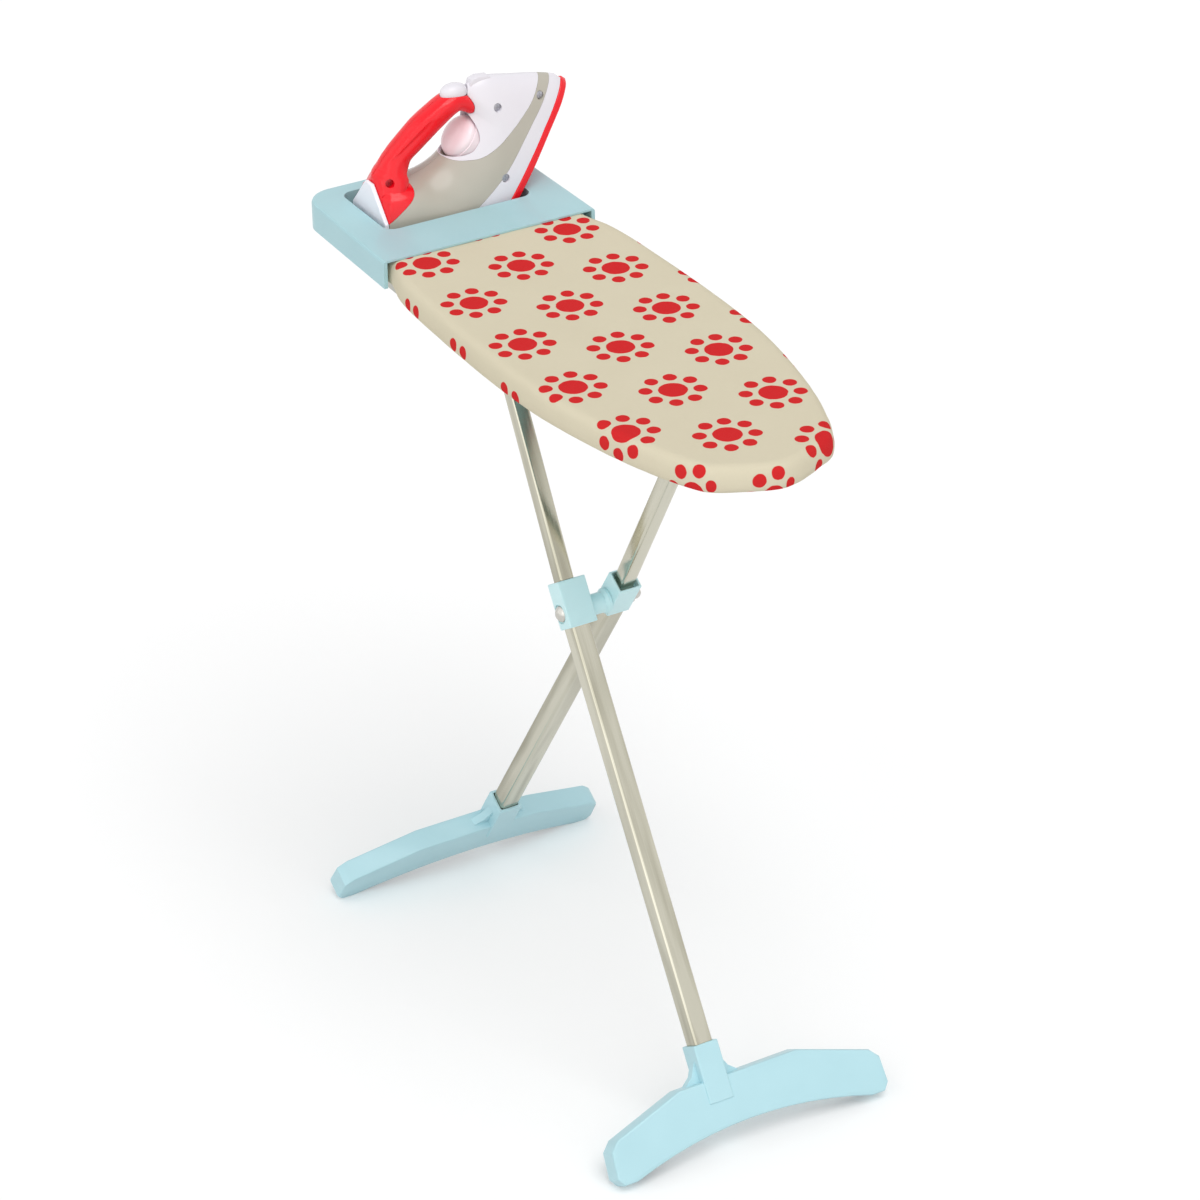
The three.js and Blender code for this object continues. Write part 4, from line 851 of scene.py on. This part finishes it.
def handle_solid(name, grow):
    """The bent grip, round in front and spread over the body at the rear, with a crease in each side."""
    rows = finer(handle_shares, handle_steps)
    leans = [lean for *_, lean in handle_shares]
    rings = []
    middles = [Vector((-setback * iron_length, 0, height * iron_half)) for setback, height, *_ in rows]
    for place, (_, _, half_height, half_width) in enumerate(rows):
        part = place / handle_steps
        whole = min(int(part), len(leans) - 2)
        lean = leans[whole] + (leans[whole + 1] - leans[whole]) * (part - whole)
        along = (middles[min(place + 1, len(rows) - 1)] - middles[max(place - 1, 0)]).normalized()
        outward = Vector((along.z, 0, -along.x))
        ring = []
        for k in range(handle_points):
            angle = 2 * math.pi * k / handle_points
            across = math.copysign(abs(math.cos(angle)) ** (2 / handle_squareness), math.cos(angle))
            up = math.copysign(abs(math.sin(angle)) ** (2 / handle_squareness), math.sin(angle))
            narrowing = 1 - lean * (1 + up) / 2
            point = middles[place] + outward * (up * (half_height * iron_half + grow))
            aside = across * (half_width * narrowing * iron_half + grow)
            dent = min(crease_dent(point.x, point.z), abs(aside) / 2)
            ring.append((point.x, aside - math.copysign(dent, aside), point.z))
        rings.append(ring)
    return tube_mesh(name, rings)


def side_cut(name, points):
    """A solid across the iron whose side view is the outline through the points, in metres."""
    return tube_mesh(name, [[(x, y, z) for x, z in points] for y in (-90 * mm, 90 * mm)])


def colour_line(shares, shift):
    """The line in the side view where one colour of the body meets the next."""
    corners = [
        Vector((-setback * iron_length, height * iron_half + shift)) for setback, height in shares
    ]
    return [(point.x, point.y) for point in smooth_line(corners, 5, 0)]


def past_line(name, shares, shift, level):
    """What lies between a level and one of the colour lines."""
    line = colour_line(shares, shift)
    return side_cut(name, [(iron_half, line[0][1]), *line, (line[-1][0], level), (iron_half, level)])


def between_lines(shift):
    """What lies between the white band and the white nose, where the shell is grey."""
    low = colour_line(band_shares, shift)
    high = colour_line(nose_shares, -shift)
    behind = -1.2 * iron_length
    above = 4 * iron_half
    outline = [(iron_half, low[0][1]), *low, (behind, low[-1][1]), (behind, above)]
    outline += [(high[-1][0], above), *reversed(high), (iron_half, high[0][1])]
    return side_cut("between_lines", outline)


def past_tail(name, shift, level):
    """What lies between a level and the line where the red tail of the handle meets the grey body."""
    line = smooth_line([Vector((x * mm, z * mm + shift)) for x, z in tail_line], 3)
    points = [(point.x, point.y) for point in line]
    return side_cut(name, [*points, (points[-1][0], level), (points[0][0], level)])


def copied(piece, name):
    """A copy of a piece with its own mesh."""
    copy = piece.copy()
    copy.data = piece.data.copy()
    copy.name = name
    bpy.context.scene.collection.objects.link(copy)
    return copy


def sliced(piece, place, way):
    """Cuts off what lies past a plane, on the side that the way points to, and closes the cut."""
    pick(piece)
    bpy.ops.object.mode_set(mode="EDIT")
    bpy.ops.mesh.select_mode(type="FACE")
    bpy.ops.mesh.select_all(action="SELECT")
    bpy.ops.mesh.bisect(
        plane_co=place, plane_no=way, use_fill=True, clear_outer=True, threshold=0.0001 * mm)
    bpy.ops.object.mode_set(mode="OBJECT")
    clean_cut(piece)


def upright(piece):
    """Sets a piece of the iron in its place and cuts it level in the rest."""
    piece.data.transform(iron_place)
    sliced(piece, (0, 0, rest_level), (0, 0, -1))


def round_tool(name, radius, low, high, scale=1.0):
    """A drill or a round cutter standing on the iron's own upright axis."""
    bpy.ops.object.select_all(action="DESELECT")
    bpy.ops.mesh.primitive_cylinder_add(
        vertices=64, radius=radius, depth=high - low, location=(0, 0, (low + high) / 2))
    tool = bpy.context.object
    tool.name = name
    tool.data.transform(tool.matrix_world)
    tool.matrix_world = Matrix.Identity(4)
    tool.data.transform(Matrix.Diagonal((1, scale, 1, 1)))
    return tool


dial_centre = -86.4 * mm
dial_seat = 50 * mm
dial_radius = 19.3 * mm
button_lean = math.radians(49.4)
button_place = Matrix.Translation((-58 * mm, 0, 87.5 * mm)) @ Matrix.Rotation(button_lean, 4, "Y")
button_length = 12 * mm
button_width = 8.4 * mm
well_radius = 3.6 * mm
well_depth = 2.6 * mm
well_shares = [(0.257, 1.42), (0.117, 0.575), (0.492, 0.51)]


def body_side(setback, height):
    """Half-width of the body at a place on its side."""
    rows = finer(body_shares, 4)
    after = next(place for place, row in enumerate(rows) if row[0] > setback)
    share = (setback - rows[after - 1][0]) / (rows[after][0] - rows[after - 1][0])
    _, width, top, roundness = [a + (b - a) * share for a, b in zip(rows[after - 1], rows[after])]
    level = (height * iron_half - sole_thickness) / (top * iron_half)
    return width * iron_half * (1 - level ** roundness) ** (1 / roundness)


def side_well(setback, height, side):
    """A round well in the right-hand side for a sunk screw."""
    well = round_tool("well", well_radius, side - well_depth, side + 20 * mm)
    place = Matrix.Translation((-setback * iron_length, 0, height * iron_half))
    well.data.transform(place @ Matrix.Rotation(math.pi / 2, 4, "X"))
    return well


body = body_solid("iron_body", 0)
grown_handle = handle_solid("grown_handle", seat_gap)
sliced(grown_handle, (-106 * mm, 0, 0), (-1, 0, 0))
dial_pocket = round_tool("dial_pocket", dial_radius + 0.5 * mm, dial_seat, dial_seat + 80 * mm)
dial_pocket.data.transform(Matrix.Translation((dial_centre, 0, 0)))
bend_length = button_length + seat_gap
bend_width = button_width + seat_gap
bend_pocket = round_tool("bend_pocket", bend_length, -4.3 * mm, 30 * mm, bend_width / bend_length)
bend_pocket.data.transform(button_place)
dial_ledge = round_tool("dial_ledge", dial_radius + 1.0 * mm, dial_seat + 2.0 * mm, dial_seat + 80 * mm)
dial_ledge.data.transform(Matrix.Translation((dial_centre, 0, 0)))
red_tail = copied(body, "red_tail")
sliced(red_tail, (-112 * mm, 0, 0), (1, 0, 0))
carve(body, past_tail("over_tail", -seat_gap / 2, 160 * mm), "DIFFERENCE")
carve(body, grown_handle, "DIFFERENCE")
carve(body, dial_ledge, "DIFFERENCE")
carve(body, dial_pocket, "DIFFERENCE")
carve(body, bend_pocket, "DIFFERENCE", keep_tool=True)
for setback, height in well_shares:
    carve(body, side_well(setback, height, body_side(setback, height)), "DIFFERENCE")
band = copied(body, "iron_lower_band")
carve(band, past_line("under_band", band_shares, -seat_gap / 2, -iron_half), "INTERSECT")
nose = copied(body, "iron_nose")
carve(nose, past_line("over_nose_line", nose_shares, seat_gap / 2, 150 * mm), "INTERSECT")
carve(body, between_lines(seat_gap / 2), "INTERSECT")

white_plastic = moulded_plastic(
    "white_plastic", paint(230, 227, 233), paint(226, 222, 229), 0.24,
    relief=0.008 * mm, coat_weight=0.25, scuffing=0.05)
grey_plastic = moulded_plastic(
    "grey_plastic", paint(186, 181, 169), paint(178, 173, 160), 0.26,
    relief=0.008 * mm, coat_weight=0.2, scuffing=0.05)
red_plastic = moulded_plastic(
    "red_plastic", paint(240, 12, 32), paint(236, 10, 28), 0.2,
    relief=0.005 * mm, coat_weight=0.15, scuffing=0.04)


def in_halves(solid, name, node, material):
    """Splits a solid of the iron along its middle into the right and the left half."""
    for half, way in (("right", 1), ("left", -1)):
        piece = copied(solid, f"{name}_{half}")
        sliced(piece, (0, -way * seat_gap / 2, 0), (0, way, 0))
        finish_iron_piece(piece, [f"{node}_{half}"], material)
    bpy.data.objects.remove(solid)


gable_half_top = 5 * mm
gable_way = (0.753, 0.657)
gable_draft = 2


def meet_heel(piece):
    """Draws the rear rim of a piece in to the gabled outline of the heel.

    The gable's way is square to its sloping edge. The draft is how steeply the drawing in fades forward.
    """
    way_aside, way_up = gable_way
    middle = iron_place.translation.x
    gable_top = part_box("iron_heel")[1].z
    for vertex in piece.data.vertices:
        aside = abs(vertex.co.x - middle)
        before = vertex.co.y - heel_front
        past = way_aside * (aside - gable_half_top) + way_up * (vertex.co.z - gable_top)
        over = past - gable_draft * before
        if over > 0:
            aside = max(aside - way_aside * over, seat_gap / 2)
            vertex.co.x = middle + math.copysign(aside, vertex.co.x - middle)
            vertex.co.z = max(vertex.co.z - way_up * over, rest_level)


def finish_iron_piece(piece, nodes, material):
    """Sets a piece of the iron in its place, trims its rear to the heel and gives it its finish."""
    upright(piece)
    sliced(piece, (0, heel_front, 0), (0, -1, 0))
    meet_heel(piece)
    recalculate(piece, 0.001 * mm)
    smooth_faces(piece, 32)
    coat(piece, material)
    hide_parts(*nodes)
    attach(piece, "iron")


finish_iron_piece(band, ["iron_base"], white_plastic)
in_halves(nose, "nose_shell", "iron_nose", white_plastic)
in_halves(body, "grey_shell", "iron_shell", grey_plastic)


# Iron handle: two red halves that meet in the middle, a bent grip in front and a spread tail behind.
# It is glossy, with one screw sunk in its side near the tail.
handle = handle_solid("iron_handle", 0)
front_body = body_solid("front_body", seat_gap)
sliced(front_body, (dial_centre, 0, 0), (-1, 0, 0))
carve(handle, red_tail, "UNION")
carve(handle, front_body, "DIFFERENCE")
carve(handle, past_tail("under_tail", seat_gap / 2, 0), "DIFFERENCE")
carve(handle, bend_pocket, "DIFFERENCE")
handle_screw = (148 / 192, 103 / 37.5)
handle_side = 16.5 * mm
carve(handle, side_well(*handle_screw, handle_side), "DIFFERENCE")
in_halves(handle, "red_grip", "iron_handle", red_plastic)


# Handle screw: a dark red painted steel screw, sunk in the side of the tail and driven from the right.
# Its head has a crossed recess like the other screws of the iron.
def domed_solid(name, profile, sides=96):
    """A closed turned piece from radius and height pairs, with a small flat at each end."""
    angles = [2 * math.pi * k / sides for k in range(sides)]
    return tube_mesh(name, [
        [(radius * math.cos(angle), radius * math.sin(angle), height) for angle in angles]
        for radius, height in profile
    ])


grip_screw_line = [(1.4, -5), (1.4, 0), (3.1, 0), (3.2, 0.5), (2.6, 1.1), (1.2, 1.4)]
grip_screw_profile = [(radius * mm, height * mm) for radius, height in grip_screw_line]
grip_screw = domed_solid("handle_screw", grip_screw_profile, 32)
grip_screw.data.transform(Matrix.Rotation(math.pi / 2, 4, "X"))
grip_screw_place = Vector((
    -handle_screw[0] * iron_length,
    -(handle_side - well_depth),
    handle_screw[1] * iron_half,
))
cross_recess(grip_screw, (0, -1.4 * mm, 0), (0, -1, 0), 3 * mm, 0.8 * mm)
grip_screw.data.transform(iron_place @ Matrix.Translation(grip_screw_place))
smooth_faces(grip_screw, 40)
painted_screw = moulded_plastic("painted_screw", paint(176, 22, 34), paint(160, 16, 28), 0.35)
coat(grip_screw, painted_screw)
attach(grip_screw, "iron")


# Soleplate: a red plate under the white band, pointed in front, with a rounded rim.
# It is one flat moulding, snapped to the band from below.
sole_shares = [
    (0, 0), (0.008, 0.08), (0.02, 0.155), (0.047, 0.255), (0.1, 0.39), (0.219, 0.575), (0.4, 0.83),
    (0.55, 0.96), (0.64, 1), (0.72, 1),
]
sole_drop = 1.7 * mm
sole_corners = [Vector((-setback * iron_length, width * iron_half)) for setback, width in sole_shares]
sole_rim = [(point.x, point.y) for point in smooth_line(sole_corners, 4)]
sole_rim += [(x, -y) for x, y in reversed(sole_rim[1:])]
sole = tube_mesh("iron_sole", [[(x, y, z) for x, y in sole_rim] for z in (-sole_drop, sole_thickness)])
sole_edge = sole.modifiers.new("rim", "BEVEL")
sole_edge.width = 1.2 * mm
sole_edge.segments = 3
sole_edge.limit_method = "ANGLE"
sole_edge.angle_limit = math.radians(60)
bpy.context.view_layer.objects.active = sole
bpy.ops.object.modifier_apply(modifier=sole_edge.name)
upright(sole)
smooth_faces(sole, 40)
coat(sole, red_plastic)
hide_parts("iron_soleplate")
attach(sole, "iron")


# Heel: the white gabled end plate on which the iron stands, snapped over the rear of the halves.
# Its edges are rounded, and its white is painted brighter than the nose's, as painted light on its
# shaded side face.
heel = finished_copy("iron_heel", 0.5 * mm, 40)
# Painted light: a brighter copy of the white plastic, to lift the shaded side of the heel.
lit_heel_white = moulded_plastic(
    "lit_heel_white", paint(250, 248, 255), paint(246, 243, 251), 0.3, relief=0.008 * mm)
coat(heel, lit_heel_white)


# Dial: a smooth pinkish white dome with a rim step, which turns in its pocket under the grip.
# It is one glossy round moulding with no marks on it.
dial_rim = [
    (18.3, 0), (19, 0.3), (19.3, 0.9), (19.3, 7.2), (19.1, 7.6), (18.6, 7.8), (18.3, 8.0), (18.4, 8.4),
]
dial_neck = 18.6
dial_dome = [(18.5, 8.8), (18, 10.9), (16.4, 12.9), (13.4, 14.6), (9, 15.7), (4.5, 16.2), (0.4, 16.3)]
dial_line = smooth_line([Vector(point) for point in dial_dome], 4)
dial_profile = [(radius * mm, height * mm) for radius, height in dial_rim]
dial_profile += [(min(point.x, dial_neck) * mm, point.y * mm) for point in dial_line]
dial = domed_solid("turning_dial", dial_profile)
dial.data.transform(iron_place @ Matrix.Translation((dial_centre, 0, dial_seat + seat_gap)))
smooth_faces(dial, 30)
dial_plastic = moulded_plastic(
    "dial_plastic", paint(245, 229, 234), paint(240, 221, 228), 0.22,
    relief=0.005 * mm, coat_weight=0.3, scuffing=0.04)
coat(dial, dial_plastic)
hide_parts("iron_dial")
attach(dial, "dial")


# Steam button: an oval white push button in the bend of the handle, crowned and with a soft rim.
# It slides a short way down its pocket when it is pressed.
button_line = [
    (1.0, -2), (1.0, 0.4), (0.985, 1.6), (0.94, 3.0), (0.85, 4.4), (0.71, 5.7), (0.52, 6.7),
    (0.28, 7.35), (0.05, 7.6),
]
button_profile = [(share * button_length, height * mm) for share, height in button_line]
button = domed_solid("push_button", button_profile, 72)
button.data.transform(button_place @ Matrix.Diagonal((1, button_width / button_length, 1, 1)))
button.data.transform(iron_place)
smooth_faces(button, 60)
coat(button, white_plastic)
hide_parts("iron_steam_button")
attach(button, "steam_button")


# Nozzle and sunk screws: a small white snout before the button, and grey steel screws in round wells.
# The screws hold the two halves of the body together, and their heads have a crossed recess.
nozzle = finished_copy("iron_nozzle", 0.6 * mm, 50)
coat(nozzle, white_plastic)
dark_steel = plated_steel("dark_screw", paint(190, 190, 196), paint(174, 174, 182), 0.5, marks=(1, 1, 1))
outward = (iron_place.to_3x3() @ Vector((0, -1, 0))).normalized()
for number in (1, 2, 3):
    node = f"iron_side_screw_{number}"
    low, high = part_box(node)
    screw = finished_copy(node, 0.1 * mm, 40)
    cross_recess(screw, (low + high) / 2 + outward * 0.5 * mm, outward, 3.2 * mm, 0.5 * mm)
    coat(screw, dark_steel)
